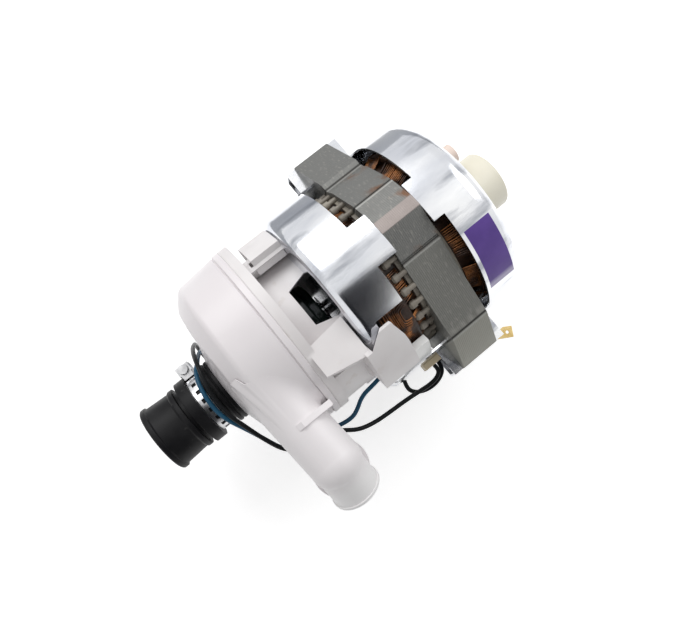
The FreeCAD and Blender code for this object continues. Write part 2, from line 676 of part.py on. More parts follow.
window = padded("hub_windows", [
    ("window_start", "window_centre - window_narrow / 2"),
    ("motor_front + 1", "window_centre - window_wide / 2"),
    ("motor_front + 1", "window_centre + window_wide / 2"),
    ("window_start", "window_centre + window_narrow / 2")],
    "0", "can_radius * 3", "XY_Plane", both=True)

back = "seam + plate_thick - 0.5"
arm_span = "motor_front - 1 - (seam + plate_thick - 0.5)"
arm_end = "motor_front - 1"
arm_body = padded("arm_outside", [
    (back, "-arm_inner"),
    (arm_end, "arm_flare - arm_inner"),
    (arm_end, "-arm_outer"),
    (back, "arm_taper - arm_outer")], "arm_bottom", "arm_top - arm_bottom", "XY_Plane")
arm_hollow = padded("arm_inside", [
    ("seam + plate_thick + 2", "-arm_inner - arm_wall"),
    ("motor_front", "arm_flare - arm_inner - arm_wall"),
    ("motor_front", "arm_wall - arm_outer"),
    ("seam + plate_thick + 2", "arm_taper + arm_wall - arm_outer")],
    "arm_bottom - 1", "arm_top + 1 - arm_bottom - arm_wall", "XY_Plane")
arm = cut("arm", arm_body, arm_hollow)
# The pad's corners are cut away beside the arm and at its rear
pad_inner = "can_radius + pad_gap"
pad_outer = "can_radius + pad_gap + pad_thick"
pad_plate = shell("pad_plate", pad_outer, pad_inner, "motor_front - pad_set_back", "pad_length",
                  size("pad_start_angle"), size("pad_end_angle"))
pad_trim = padded("pad_trim", [
    ("motor_front - 3", "-arm_outer - 1"),
    ("motor_front - 2", "-arm_outer - 1"),
    ("motor_front + 9", "-pad_inner_side"),
    ("motor_front + 14.4", "-pad_inner_side"),
    ("motor_front + 14.8", "-pad_inner_side - 3"),
    ("motor_front + 17", "-pad_inner_side - 9.4"),
    ("motor_front + 18.4", "-pad_inner_side - 22"),
    ("motor_front + 22", "-pad_inner_side - 22"),
    ("motor_front + 22", "0"),
    ("motor_front - 3", "0")], "20", "can_radius", "XY_Plane")
pad = cut("pad", pad_plate, pad_trim)
pad_web = shell("pad_web", pad_outer, "arm_top - pad_web_drop", "motor_front - 4",
                "pad_web_thick", size("pad_start_angle") + 6, size("pad_end_angle"))
pad_block_at = ("motor_front - 0.2 - peg_block_long", "-arm_outer - 1.6 - peg_block_wide",
                "peg_block_foot")
pad_block = box("pad_block", "peg_block_long", "peg_block_wide", "peg_block_high", pad_block_at)
side_arm = fuse("side_arm", [arm, pad, pad_web])
lower_pad = shell("lower_pad", pad_outer, pad_inner, "motor_front - pad_set_back", "pad_length",
                  size("pad_start_angle"), size("lower_pad_end_angle"))
lower_web = shell("lower_web", pad_outer, "arm_top - pad_web_drop", "motor_front - 4",
                  "pad_web_thick", size("pad_start_angle") - 2, size("lower_pad_end_angle"))
lower_arm = mirrored("lower_arm", fuse("lower_side_arm", [arm, lower_pad, lower_web]), (0, 0, 1))
WALL_FROM = 52
WALL_TO = 128
side_wall = shell("side_wall", "rim_radius - 1.6", "rim_radius - 1.6 - arm_wall", back, arm_span,
                  WALL_FROM, WALL_TO, "drum_offset")

strut_solid = box("strut_outside", "motor_front - (seam + plate_thick - 0.5)", "strut_width",
                  "strut_top - 10", (back, "strut_inner", "10"))
strut_slot = box("strut_slot", "(motor_front - seam - flange_width) * 2 / 3", "strut_width - 4",
                 "6", ("seam + flange_width + 2.5", "strut_inner + 2", "strut_top - 4"))
strut = cut("strut", strut_solid, strut_slot)
block = shell("upper_block", "block_radius", "block_inner_radius", "block_start",
              "motor_front - block_start - 0.3", -size("block_end_angle"), -size("block_start_angle"))
block_web = shell("block_web", "block_inner_radius + 2", "hub_radius - 1", back,
                  "motor_front - 0.3 - (seam + plate_thick - 0.5)",
                  -size("block_end_angle") + 4, -size("block_end_angle") + 10)
bracket_solid = fuse("bracket_solid", [rim, spigot, hub, boss, side_arm, lower_arm, side_wall,
                                       pad_block, strut, block, block_web])
bracket_cuts = fuse("bracket_cuts", [hub_hollow, boss_hollow, shaft_hole, window])
finish("motor_bracket", cut("motor_bracket", bracket_solid, bracket_cuts))

# Shaft seal: fixed ring in its rubber, turning ring and spring
seat = tube_ring("seal_seat", "seat_radius", "seat_bore", "seat_start", "seat_thick")
finish("seal_seat", seat)
boot = tube_ring("seal_boot", "seat_radius + boot_thick", "seat_radius", "seat_start", "seat_thick")
finish("seal_boot", boot)
ring_start = "seat_start - seal_gap - seal_ring_width"
turning = tube_ring("seal_ring", "seat_radius - 0.5", "shaft_radius", ring_start, "seal_ring_width")
finish("seal_ring", turning)

spring_from = size("impeller_back")
spring_to = size("seat_start") - size("seal_gap") - size("seal_ring_width")
wire = size("spring_wire")
spring_span = spring_to - spring_from - 2 * wire
SPRING_TURNS = 3
helix = Part.makeHelix(spring_span / SPRING_TURNS, spring_span, size("spring_radius"))
wire_circle = Part.Wire(Part.makeCircle(wire, Vector(size("spring_radius"), 0, 0), Vector(0, 1, 0)))
coil = Part.Wire(helix).makePipeShell([wire_circle], True, True)
spring = doc.addObject("Part::Feature", "seal_spring")
spring.Shape = coil
spring.Placement = Placement(Vector(spring_from + wire, 0, 0), Rotation(Vector(0, 1, 0), 90))
finish("seal_spring", spring)

# Impeller: back disc with hub and curved blades, front disc, and the nut that holds it
blade_start = "impeller_front + impeller_disc"
disc_start = "impeller_front + impeller_disc + blade_width"
impeller = turned("impeller", [
    ("shaft_start + nut_reach", "shaft_radius"),
    (disc_start + " + impeller_disc", "shaft_radius"),
    (disc_start + " + impeller_disc", "impeller_radius"),
    (disc_start, "impeller_radius"),
    (disc_start, "impeller_hub + 2"),
    ("shaft_start + nut_reach", "impeller_hub")])
inner_reach = size("eye_radius")
outer_reach = size("impeller_radius") - 0.5
BLADE_SWEEP = 62
sweep = math.radians(BLADE_SWEEP)
root = Vector(inner_reach, 0, 0)
tip = Vector(outer_reach * math.cos(sweep), outer_reach * math.sin(sweep), 0)
chord = tip - root
sag = size("blade_curve") - math.sqrt(size("blade_curve") ** 2 - (chord.Length / 2) ** 2)
outward = Vector(chord.y, -chord.x, 0).normalize()
thick = outward * size("blade_thick")
middle = (root + tip) * 0.5 + outward * sag
blade_sketch = impeller.newObject("Sketcher::SketchObject", "blade_section")
blade_sketch.AttachmentSupport = [(plane_of(impeller, "YZ_Plane"), "")]
blade_sketch.MapMode = "FlatFace"
blade_sketch.setExpression("AttachmentOffset.Base.z", bound(blade_start))
blade_sketch.addGeometry(Part.Arc(root, middle, tip), False)
blade_sketch.addGeometry(Part.LineSegment(tip, tip - thick), False)
blade_sketch.addGeometry(Part.Arc(tip - thick, middle - thick, root - thick), False)
blade_sketch.addGeometry(Part.LineSegment(root - thick, root), False)
blade = impeller.newObject("PartDesign::Pad", "blade")
blade.Profile = blade_sketch
bind(blade, Length="blade_width")
doc.recompute()
blades = impeller.newObject("PartDesign::PolarPattern", "blades")
blades.Originals = [blade]
blades.Axis = (blade_sketch, ["N_Axis"])
blades.Angle = 360
bind(blades, Occurrences="blade_count")
impeller.Tip = blades
finish("impeller", impeller)
shroud = turned("impeller_shroud", [
    ("impeller_front - 1", "eye_radius"),
    (blade_start, "eye_radius"),
    (blade_start, "impeller_radius"),
    ("impeller_front", "impeller_radius"),
    ("impeller_front", "eye_radius + 1.6"),
    ("impeller_front - 1", "eye_radius + 1.6")])
finish("impeller_shroud", shroud)
nut_body = primitive("Prism", "impeller_nut_body", Circumradius="impeller_hub - 0.6", Height="nut_reach")
nut_body.Polygon = 6
place(nut_body, ("shaft_start", None, None), (0, 1, 0), 90)
nut_bore = rod("impeller_nut_bore", "shaft_radius", "nut_reach + 2", ("shaft_start - 1", None, None))
finish("impeller_nut", cut("impeller_nut", nut_body, nut_bore))

# Shaft, slinger and rotor
finish("shaft", turned("shaft", [
    ("shaft_start", "0"),
    ("shaft_start", "shaft_radius - 0.6"),
    ("shaft_start + 0.6", "shaft_radius"),
    ("shaft_end - 0.6", "shaft_radius"),
    ("shaft_end", "shaft_radius - 0.6"),
    ("shaft_end", "0")]))
hub_from = "slinger_start + slinger_disc"
cup_from = "slinger_start + slinger_disc + slinger_hub_long"
cup_to = "slinger_start + slinger_disc + slinger_hub_long + slinger_cup_long"
finish("slinger", turned("slinger", [
    ("slinger_start", "shaft_radius"),
    ("slinger_start", "slinger_radius"),
    (hub_from, "slinger_radius"),
    (hub_from, "slinger_hub"),
    (cup_from + " - 1", "slinger_hub - 0.6"),
    (cup_from, "slinger_hub - 1.6"),
    (cup_from, "slinger_cup"),
    (cup_to + " - 1", "slinger_cup - 1"),
    (cup_to, "slinger_cup - 2"),
    (cup_to, "shaft_radius")]))
finish("rotor_core", tube_ring("rotor_core", "rotor_radius", "shaft_radius", "stack_start", "stack_length"))


def end_ring(name, start, fin_start):
    """One cast end ring of the rotor with its cooling fins."""
    ring = tube_ring(name + "_ring", "cage_radius", "cage_radius - cage_thick", start, "cage_width")
    pieces = [ring]
    for k in range(int(size("fin_count"))):
        fin = primitive("Box", "%s_fin_%d" % (name, k), Length="fin_length", Width="1.6", Height="6")
        turn = Rotation(Vector(1, 0, 0), 360 * k / size("fin_count"))
        fin.Placement = Placement(turn.multVec(Vector(0, -0.8, size("cage_radius") - 7.5)), turn)
        fin.setExpression("Placement.Base.x", bound(fin_start))
        pieces.append(fin)
    return fuse(name, pieces)


front_ring = end_ring("cage_front", "stack_start - cage_width", "stack_start - cage_width - fin_length")
rear_ring = end_ring("cage_rear", "stack_end", "stack_end + cage_width")
cage = doc.addObject("Part::Compound", "rotor_cage")
cage.Links = [front_ring, rear_ring]
finish("rotor_cage", cage)

# Bearings in the pockets of the two end shields
front_bearing_at = "motor_front + can_wall + 0.3"
rear_bearing_at = "motor_rear + 1.2"
for label, start in (("front_bearing", front_bearing_at), ("rear_bearing", rear_bearing_at)):
    end = "%s + bearing_width" % start
    finish(label, turned(label, [
        (start, "shaft_radius + running_gap"),
        (end, "shaft_radius + running_gap"),
        (end, "shaft_radius + 2.2"),
        (end + " - 0.5", "shaft_radius + 2.2"),
        (end + " - 0.5", "bearing_radius - 2"),
        (end, "bearing_radius - 2"),
        (end, "bearing_radius"),
        (start, "bearing_radius"),
        (start, "bearing_radius - 2"),
        (start + " + 0.5", "bearing_radius - 2"),
        (start + " + 0.5", "shaft_radius + 2.2"),
        (start, "shaft_radius + 2.2")]))


# End shields: drawn cups with a bearing pocket, windows in the skirt and two bolted ears
def ear_plates(name, start, lip):
    """The two ears of a shield against the stack, edges folded away from it, drilled for the bolts."""
    length = "ear_reach * 2 - 0.6"
    high = "ear_top - ear_bottom - 2"
    solid = box(name + "_solid", "can_wall + ear_lip", length, high,
                (start + (" - ear_lip" if lip < 0 else ""), "-ear_reach + 0.3", "ear_bottom + 1"))
    hollow = box(name + "_hollow", "ear_lip + 1", length + " - 2 * can_wall", high + " - 2 * can_wall",
                 (start + (" - ear_lip - 1" if lip < 0 else " + can_wall"),
                  "-ear_reach + 0.3 + can_wall", "ear_bottom + 1 + can_wall"))
    plate = cut(name + "_plate", solid, hollow)
    clear = rod(name + "_clear", "can_radius - can_wall", "can_wall + 2 * ear_lip + 2",
                (start + " - ear_lip - 1", None, None))
    holes = [rod("%s_hole_%d" % (name, k), "bolt_radius", "can_wall + 2",
                 (start + " - 1", side, "bolt_height"))
             for k, side in enumerate(("bolt_side", "-bolt_side"))]
    return cut(name, plate, fuse(name + "_cuts", [clear] + holes))


def skirt_windows(name, spans):
    """Sectors cut from a skirt: start, length, first and last angle."""
    return [sector("%s_window_%d" % (name, k), "can_radius + 2", start, length, first, last)
            for k, (start, length, first, last) in enumerate(spans)]


can_in = "can_radius - can_wall"
pocket_out = "bearing_radius + can_wall"
front_cup = turned("front_cup", [
    ("motor_front", "bearing_radius - 2"),
    ("motor_front", "can_radius"),
    ("stack_start", "can_radius"),
    ("stack_start", can_in),
    ("motor_front + can_wall", can_in),
    ("motor_front + can_wall", pocket_out),
    (front_bearing_at + " + bearing_width + 0.3", pocket_out),
    (front_bearing_at + " + bearing_width + 0.3", "bearing_radius"),
    ("motor_front + can_wall", "bearing_radius"),
    ("motor_front + can_wall", "bearing_radius - 2")],
    rounds=[([(size("motor_front"), size("can_radius"))], "can_front_round"),
            ([(size("motor_front") + size("can_wall"), size("can_radius") - size("can_wall"))],
             "can_front_round - can_wall")])
tongue_r, tongue_l = size("tongue_right"), size("tongue_left")
ear, lobe = size("ear_start"), size("lobe_end")
front_end = "stack_start - (%s) + 1"
front_cuts = skirt_windows("front", [
    ("front_skirt", front_end % "front_skirt", -ear, -tongue_l),
    ("front_lobe", front_end % "front_lobe", tongue_r, lobe + 1),
    ("front_deep", front_end % "front_deep", lobe, ear),
    ("front_skirt", front_end % "front_skirt", 180 - ear, 180 - tongue_l),
    ("front_skirt", front_end % "front_skirt", 180 + tongue_l, 180 + ear)])
lead_hole = rod("lead_hole", "lead_radius + 1.4", "can_wall + 2",
                ("motor_front - 1", "-lead_hole_side", "lead_hole_height"))
front_ears = ear_plates("front_ears", "stack_start - can_wall", -1)
front_cut_cup = cut("front_cut_cup", front_cup, fuse("front_windows", front_cuts + [lead_hole]))
finish("front_shield", fuse("front_shield", [front_cut_cup, front_ears]))

rear_start = "stack_end"
rear_cup = turned("rear_cup", [
    ("motor_rear", pocket_out),
    ("motor_rear", "can_radius"),
    (rear_start, "can_radius"),
    (rear_start, can_in),
    ("motor_rear - can_wall", can_in),
    ("motor_rear - can_wall", "bearing_radius"),
    (rear_bearing_at + " + bearing_width + 1", "bearing_radius"),
    (rear_bearing_at + " + bearing_width + 1", "shaft_radius + 2"),
    (rear_bearing_at + " + bearing_width + 1 + can_wall", "shaft_radius + 2"),
    (rear_bearing_at + " + bearing_width + 1 + can_wall", pocket_out)],
    rounds=[([(size("motor_rear"), size("can_radius"))], "can_rear_round"),
            ([(size("motor_rear") - size("can_wall"), size("can_radius") - size("can_wall"))],
             "can_rear_round - can_wall")])
window_long = "rear_skirt - stack_end + 1"
rear_window_start = "stack_end - 1"
rear_cuts = skirt_windows("rear", [
    (rear_window_start, window_long, -ear, -tongue_l),
    (rear_window_start, window_long, tongue_r, ear),
    (rear_window_start, window_long, 180 - ear, 180 - tongue_l),
    (rear_window_start, window_long, 180 + tongue_l, 180 + ear)])
tab_notch = box("tab_notch", "ear_lip + 1", "can_wall + 1", "spade_foot + notch_room * 2",
                ("stack_end + can_wall", "-ear_reach", "spade_height - notch_room"))
rear_ears = cut("rear_notched_ears", ear_plates("rear_ears", rear_start, 1), tab_notch)
rear_cut_cup = cut("rear_cut_cup", rear_cup, fuse("rear_windows", rear_cuts))
finish("rear_shield", fuse("rear_shield", [rear_cut_cup, rear_ears]))

# Stator: lamination stack with two ears, windings and slot insulation
# The stack's outline as shares of the shield radius, from the -Y ear round the top and below
STACK_TOP = [
    (-0.9947, 0.4386), (-0.2456, 0.8368), (-0.2211, 0.8316), (-0.2140, 0.8579), (0.0456, 1.0070),
    (0.1579, 0.9895), (0.3930, 0.8632), (0.3965, 0.8386), (0.4193, 0.8421), (0.6982, 0.5737),
    (0.7298, 0.5088), (0.7719, 0.4632), (0.8386, 0.4561)]
STACK_UNDER = [(0.9474, -0.4912), (0.4912, -0.8772), (0, -0.9825), (-0.4912, -0.8772), (-0.9474, -0.4912)]


def shares(corners):
    return [tuple("can_radius * %s" % number if number else "0" for number in corner)
            for corner in corners]


stack_profile = padded("stack_profile", [("-ear_reach", "ear_bottom"), ("-ear_reach", "ear_top")]
                       + shares(STACK_TOP) + [("ear_reach", "ear_top"), ("ear_reach", "ear_bottom")]
                       + shares(STACK_UNDER), "stack_start", "stack_length")
stack_cuts = [rod("stator_bore", "stack_bore", "stack_length + 2", ("stack_start - 1", None, None))]
for k, side in enumerate(("bolt_side", "-bolt_side")):
    stack_cuts.append(rod("stack_hole_%d" % k, "bolt_radius", "stack_length + 2",
                          ("stack_start - 1", side, "bolt_height")))
finish("stator_core", cut("stator_core", stack_profile, fuse("stack_cuts", stack_cuts)))


def winding(label, end, disc_face, neck_end):
    """A bundle of end turns, slimmer beside the stack."""
    stations = (size(end), size("stack_start"))
    return turned(label, [
        (end, "coil_inner"),
        (disc_face, "coil_inner"),
        (disc_face, "coil_neck"),
        (neck_end, "coil_neck"),
        (neck_end, "coil_outer"),
        (end, "coil_outer")],
        rounds=[([(stations[0], size("coil_inner")), (stations[0], size("coil_outer"))], "coil_round")])


finish("front_winding", winding("front_winding", "coil_front_end", "stack_start - liner_disc",
                                "stack_start - liner_reach - 0.6"))
finish("rear_winding", winding("rear_winding", "coil_rear_end",
                               "stack_end + liner_disc",
                               "stack_end + liner_reach + 0.6"))


def liner(label, face, way, pegs):
    """An insulating disc on the stack, with pegs at the front that hold the coils apart."""
    disc_start = face if way > 0 else face + " - liner_disc"
    disc = tube_ring(label + "_disc", "liner_edge", "coil_inner", disc_start, "liner_disc")
    outwards = Rotation(Vector(0, 1, 0), 90 * way)
    sign = "+" if way > 0 else "-"
    pieces = [disc]
    for k in range(pegs):
        angle = math.radians(360 * k / size("liner_count"))
        spot = Vector(0, size("liner_ring") * math.sin(angle), size("liner_ring") * math.cos(angle))
        stem = primitive("Cylinder", "%s_stem_%d" % (label, k), Radius="liner_stem",
                         Height="liner_reach - liner_knob + 0.2")
        stem.Placement = Placement(spot, outwards)
        stem.setExpression("Placement.Base.x", bound(face))
        peg = primitive("Cylinder", "%s_peg_%d" % (label, k), Radius="liner_pin",
                        Height="liner_knob - liner_tip")
        peg.Placement = Placement(spot, outwards)
        peg.setExpression("Placement.Base.x", bound("%s %s (liner_reach - liner_knob)" % (face, sign)))
        tip = primitive("Cone", "%s_tip_%d" % (label, k), Radius1="liner_pin",
                        Radius2="liner_pin * 0.6", Height="liner_tip")
        tip.Placement = Placement(spot, outwards)
        tip.setExpression("Placement.Base.x", bound("%s %s (liner_reach - liner_tip)" % (face, sign)))
        pieces += [stem, peg, tip]
    return fuse(label, pieces) if pegs else disc


finish("front_insulator", liner("front_insulator", "stack_start", -1, int(size("liner_count"))))
finish("rear_insulator", liner("rear_insulator", "stack_end", 1, 0))

# Through bolts and their nuts, two of each
bolt_pieces, nut_pieces = [], []
for k, side in enumerate(("bolt_side", "-bolt_side")):
    head = rod("bolt_head_%d" % k, "bolt_head", "bolt_head_high",
               ("stack_start - can_wall - bolt_head_high", side, "bolt_height"))
    shank = rod("bolt_shank_%d" % k, "bolt_radius",
                "stack_length + 2 * can_wall + nut_high + 2",
                ("stack_start - can_wall", side, "bolt_height"))
    bolt_pieces.append(fuse("bolt_%d" % k, [head, shank]))
    nut = primitive("Prism", "nut_blank_%d" % k, Circumradius="nut_across / sqrt(3)", Height="nut_high")
    nut.Polygon = 6
    place(nut, ("stack_end + can_wall", side, "bolt_height"), (0, 1, 0), 90)
    bore_rod = rod("nut_bore_%d" % k, "bolt_radius", "nut_high + 2",
                   ("stack_end", side, "bolt_height"))
    nut_pieces.append(cut("nut_%d" % k, nut, bore_rod))
for label, pieces in (("through_bolts", bolt_pieces), ("bolt_nuts", nut_pieces)):
    group = doc.addObject("Part::Compound", label)
    group.Links = pieces
    finish(label, group)

# Earth tab: a foot against the -Y ear beyond the nut, and a flat blade that stands out of it
foot_start = "stack_end + can_wall"
tab_y = "bolt_side + nut_across / sqrt(3) + 0.4"
TAB_TURN = -30
tab_foot = box("tab_foot", "spade_thick", "ear_reach - can_wall - 0.4 - (%s)" % tab_y, "spade_foot",
               (foot_start, "can_wall + 0.4 - ear_reach", "spade_height"))
tab_blade = primitive("Box", "tab_blade", Length="spade_length", Width="spade_width",
                      Height="spade_thick")
tab_blade.Placement = Placement(Vector(), Rotation(Vector(0, 0, 1), TAB_TURN))
place(tab_blade, (foot_start, "0.6 - ear_reach", "spade_height"))
tab_hole = primitive("Cylinder", "tab_hole", Radius="spade_hole", Height="spade_thick + 2")
tab_way = Rotation(Vector(0, 0, 1), TAB_TURN).multVec(
    Vector(size("spade_length") - 3, size("spade_width") / 2, 0))
place(tab_hole, ("stack_end + can_wall + %s" % round(tab_way.x, 3),
                 "0.6 - ear_reach + %s" % round(tab_way.y, 3), "spade_height - 1"))
tab_clear = rod("tab_clear", "nut_across / sqrt(3) + 0.3", "spade_width * 2",
                (foot_start, "-bolt_side", "bolt_height"))
finish("spade_terminal", cut("spade_terminal", fuse("tab_solid", [tab_foot, tab_blade]),
                             fuse("tab_cuts", [tab_hole, tab_clear])))

# Rear cap and peg
finish("rear_cap", turned("rear_cap", [
    ("motor_rear", "cap_radius - cap_wall"),
    ("motor_rear + cap_length - cap_wall", "cap_radius - cap_wall"),
    ("motor_rear + cap_length - cap_wall", "0"),
    ("motor_rear + cap_length", "0"),
    ("motor_rear + cap_length", "cap_radius"),
    ("motor_rear", "cap_radius")],
    rounds=[([(size("motor_rear") + size("cap_length"), size("cap_radius"))], "cap_wall * 0.8")]))
rear_peg = rod("rear_peg", "peg_radius", "peg_length", ("motor_rear", "peg_side", "peg_height"))
finish("rear_peg", rear_peg)

# Terminal holder in the front shield's deep window, and the clip for the leads
holder = shell("terminal_holder", "can_radius - can_wall", "can_radius - can_wall - holder_thick",
               "front_deep", "holder_end - front_deep",
               size("holder_start_angle"), size("holder_end_angle"))
finish("terminal_holder", holder)
clip = box("lead_clip", "clip_length", "clip_depth", "clip_high",
           ("clip_start", "-can_radius - clip_depth", "clip_top - clip_high"))
finish("lead_clip", clip)

# Leads: hand-laid routes; each is a tube of straight runs joined by tangent arcs
BLUE_ROUTE = [
    (109.2, -47.5, -4), (103.5, -48.2, -5), (98.2, -48.6, -5.4), (93.8, -50, -5.2),
    (90, -52.4, -4.6), (85, -54.4, -3.2), (78, -53.6, -1.2), (70, -51, 0.6),
    (61.4, -49.8, 1.8), (53, -48.4, 3.2), (46.3, -44.5, 5), (41.8, -32.5, 9),
    (38, -23.2, 13), (34.7, -15.9, 16.4), (33, -8.2, 19.2), (33.3, -0.1, 20.4),
    (34.6, 8.6, 19), (37, 14.7, 16.2), (39.8, 18.3, 11.6), (40.7, 22.6, 1),
    (42.3, 27.2, -13), (42.6, 29.6, -24), (42.8, 28.6, -35), (42.6, 22, -43.6),
    (43, 13.4, -49.4), (47, 6, -53.8), (53.4, 2.2, -56.4), (60, 1.2, -57)]
BLACK_ROUTE = [
    (136.8, -61.1, -3.4), (137.4, -64.4, -4.6), (134.8, -66.9, -5.6), (129.6, -67.7, -6),
    (122.6, -66.9, -6), (113, -65.7, -5.4), (102.4, -65, -4.2), (92, -64, -2),
    (82.8, -61.4, 1.4), (75.6, -55.6, 4.2), (68, -51.4, 6.2), (60, -50.4, 7.6),
    (52.6, -48.8, 9), (46.6, -44.6, 10.5), (42.1, -33, 14.5), (39, -22.1, 17.5),
    (36.5, -13.6, 19.5), (36.4, -2.8, 21.5), (37.7, 5.7, 23), (39.9, 14.6, 22),
    (40.8, 22.8, 12), (41.4, 29.5, -4), (42, 32.9, -16), (42, 35.6, -27), (41, 34.6, -38),
    (40.4, 28, -47.4), (41, 18.4, -53.6), (45.4, 10.4, -57), (52.6, 6.4, -58),
    (60, 5.2, -57.8)]
JUMPER_ROUTE = [
    (119.6, -57.1, -9.2), (118.4, -60.2, -9.6), (118.6, -63.8, -9.8), (121.4, -66.9, -9.9),
    (127, -69.2, -9.8), (133.4, -69.2, -9.4), (138.4, -67, -8), (140, -63.8, -6),
    (140, -60.95, -5.6)]
ARC_SHARE = 0.45


def lead_path(label, points):
    """The route's runs, each corner rounded by an arc as large as its two runs allow."""
    edges, start = [], points[0]
    radii = []
    for before, corner, after in zip(points, points[1:], points[2:]):
        way_in, way_out = (corner - before), (after - corner)
        reach = ARC_SHARE * min(way_in.Length, way_out.Length)
        way_in.normalize()
        way_out.normalize()
        first, last = corner - way_in * reach, corner + way_out * reach
        half_turn = way_in.getAngle(way_out) / 2
        radius = reach / math.tan(half_turn)
        inwards = (way_out - way_in).normalize()
        middle = corner + inwards * (radius / math.cos(half_turn) - radius)
        edges.append(Part.LineSegment(start, first).toShape())
        edges.append(Part.Arc(first, middle, last).toShape())
        radii.append(radius)
        start = last
    edges.append(Part.LineSegment(start, points[-1]).toShape())
    print(label, "bend radii", [round(r, 1) for r in radii])
    return Part.Wire(edges)


def lead(label, route):
    points = [Vector(*place) for place in route]
    path = lead_path(label, points)
    radius = size("lead_radius")
    section = Part.Wire(Part.makeCircle(radius, points[0], points[1] - points[0]))
    tube = path.makePipeShell([section], True, True)
    expected = math.pi * radius ** 2 * path.Length
    print(label, "length %.1f" % path.Length, "volume share %.4f" % (tube.Volume / expected))
    item = doc.addObject("Part::Feature", label)
    item.Shape = tube
    return finish(label, item)


lead("blue_lead", BLUE_ROUTE)
lead("black_lead", BLACK_ROUTE)
lead("black_jumper", JUMPER_ROUTE)
plug = box("lead_plug", "plug_length", "plug_width", "plug_high",
           ("60", "3.2 - plug_width / 2", "-57.4 - plug_high / 2"))
finish("lead_plug", plug)

# Check every object, then write each sub-part
doc.recompute()
for item in doc.Objects:
    if "Invalid" in item.State or "Error" in item.State:
        raise RuntimeError("%s failed: %s" % (item.Name, item.State))
for label, item in NODES:
    shape = item.Shape
    if shape.isNull() or not shape.isValid():
        raise RuntimeError("%s has no valid shape" % label)
for label, item in NODES:
    item.Shape.exportStep("parts/%s.step" % label)
    print(label, len(item.Shape.Solids), "solids", round(item.Shape.Volume, 1))
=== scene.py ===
import math
import random

import bpy
from mathutils import Matrix, Vector


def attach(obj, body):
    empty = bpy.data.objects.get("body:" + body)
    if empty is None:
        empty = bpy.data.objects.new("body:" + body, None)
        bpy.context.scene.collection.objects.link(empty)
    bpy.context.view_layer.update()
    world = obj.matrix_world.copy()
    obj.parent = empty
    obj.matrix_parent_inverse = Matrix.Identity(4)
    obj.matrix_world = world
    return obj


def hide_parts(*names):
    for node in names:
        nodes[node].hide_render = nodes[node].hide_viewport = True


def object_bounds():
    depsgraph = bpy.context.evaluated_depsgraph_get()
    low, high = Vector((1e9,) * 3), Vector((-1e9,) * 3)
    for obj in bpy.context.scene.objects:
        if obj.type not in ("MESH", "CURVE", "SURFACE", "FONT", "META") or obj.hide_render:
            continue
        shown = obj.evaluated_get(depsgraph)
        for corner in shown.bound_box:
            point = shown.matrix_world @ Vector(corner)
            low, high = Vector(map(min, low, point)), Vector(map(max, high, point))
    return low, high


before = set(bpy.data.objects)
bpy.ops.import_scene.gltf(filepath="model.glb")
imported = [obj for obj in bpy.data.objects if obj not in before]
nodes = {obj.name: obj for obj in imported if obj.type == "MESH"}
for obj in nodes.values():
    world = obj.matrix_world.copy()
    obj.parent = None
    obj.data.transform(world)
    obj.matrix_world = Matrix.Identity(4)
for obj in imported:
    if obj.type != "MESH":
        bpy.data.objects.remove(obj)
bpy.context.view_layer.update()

random.seed(7)
MM = 0.001
HOUSING = "housing"
ROTOR = "rotor"

# Camera, where the photograph was taken from
EYE = Vector((0.070791, -0.049628, 0.357651))
RIGHT = Vector((0.771416, -0.636039, 0.019293))
UP = Vector((0.624918, 0.762948, 0.165495))
BACK = Vector((-0.119981, -0.115609, 0.986022))
bpy.ops.object.select_all(action="DESELECT")
bpy.ops.object.camera_add()
camera = bpy.context.object
camera.name = "photo_camera"
camera.matrix_world = Matrix.Translation(EYE) @ Matrix((RIGHT, UP, BACK)).transposed().to_4x4()
camera.data.sensor_fit = "HORIZONTAL"
camera.data.sensor_width = 36
camera.data.lens = 35.355
camera.data.clip_start = 0.01
bpy.context.scene.camera = camera
bpy.context.scene.view_settings.view_transform = "Standard"

# Leads: control points of each route, in millimetres
LEAD_RADIUS = 1.2
BLUE_ROUTE = [
    (109.2, -47.5, -4), (103.5, -48.2, -5), (98.2, -48.6, -5.4), (93.8, -50, -5.2),
    (90, -52.4, -4.6), (85, -54.4, -3.2), (78, -53.6, -1.2), (70, -51, 0.6),
    (61.4, -49.8, 1.8), (53, -48.4, 3.2), (46.3, -44.5, 5), (41.8, -32.5, 9),
    (38, -23.2, 13), (34.7, -15.9, 16.4), (33, -8.2, 19.2), (33.3, -0.1, 20.4),
    (34.6, 8.6, 19), (37, 14.7, 16.2), (39.8, 18.3, 11.6), (40.7, 22.6, 1),
    (42.3, 27.2, -13), (42.6, 29.6, -24), (42.8, 28.6, -35), (42.6, 22, -43.6),
    (43, 13.4, -49.4), (47, 6, -53.8), (53.4, 2.2, -56.4), (60, 1.2, -57)]
BLACK_ROUTE = [
    (136.8, -61.1, -3.4), (137.4, -64.4, -4.6), (134.8, -66.9, -5.6), (129.6, -67.7, -6),
    (122.6, -66.9, -6), (113, -65.7, -5.4), (102.4, -65, -4.2), (92, -64, -2),
    (82.8, -61.4, 1.4), (75.6, -55.6, 4.2), (68, -51.4, 6.2), (60, -50.4, 7.6),
    (52.6, -48.8, 9), (46.6, -44.6, 10.5), (42.1, -33, 14.5), (39, -22.1, 17.5),
    (36.5, -13.6, 19.5), (36.4, -2.8, 21.5), (37.7, 5.7, 23), (39.9, 14.6, 22),
    (40.8, 22.8, 12), (41.4, 29.5, -4), (42, 32.9, -16), (42, 35.6, -27), (41, 34.6, -38),
    (40.4, 28, -47.4), (41, 18.4, -53.6), (45.4, 10.4, -57), (52.6, 6.4, -58),
    (60, 5.2, -57.8)]
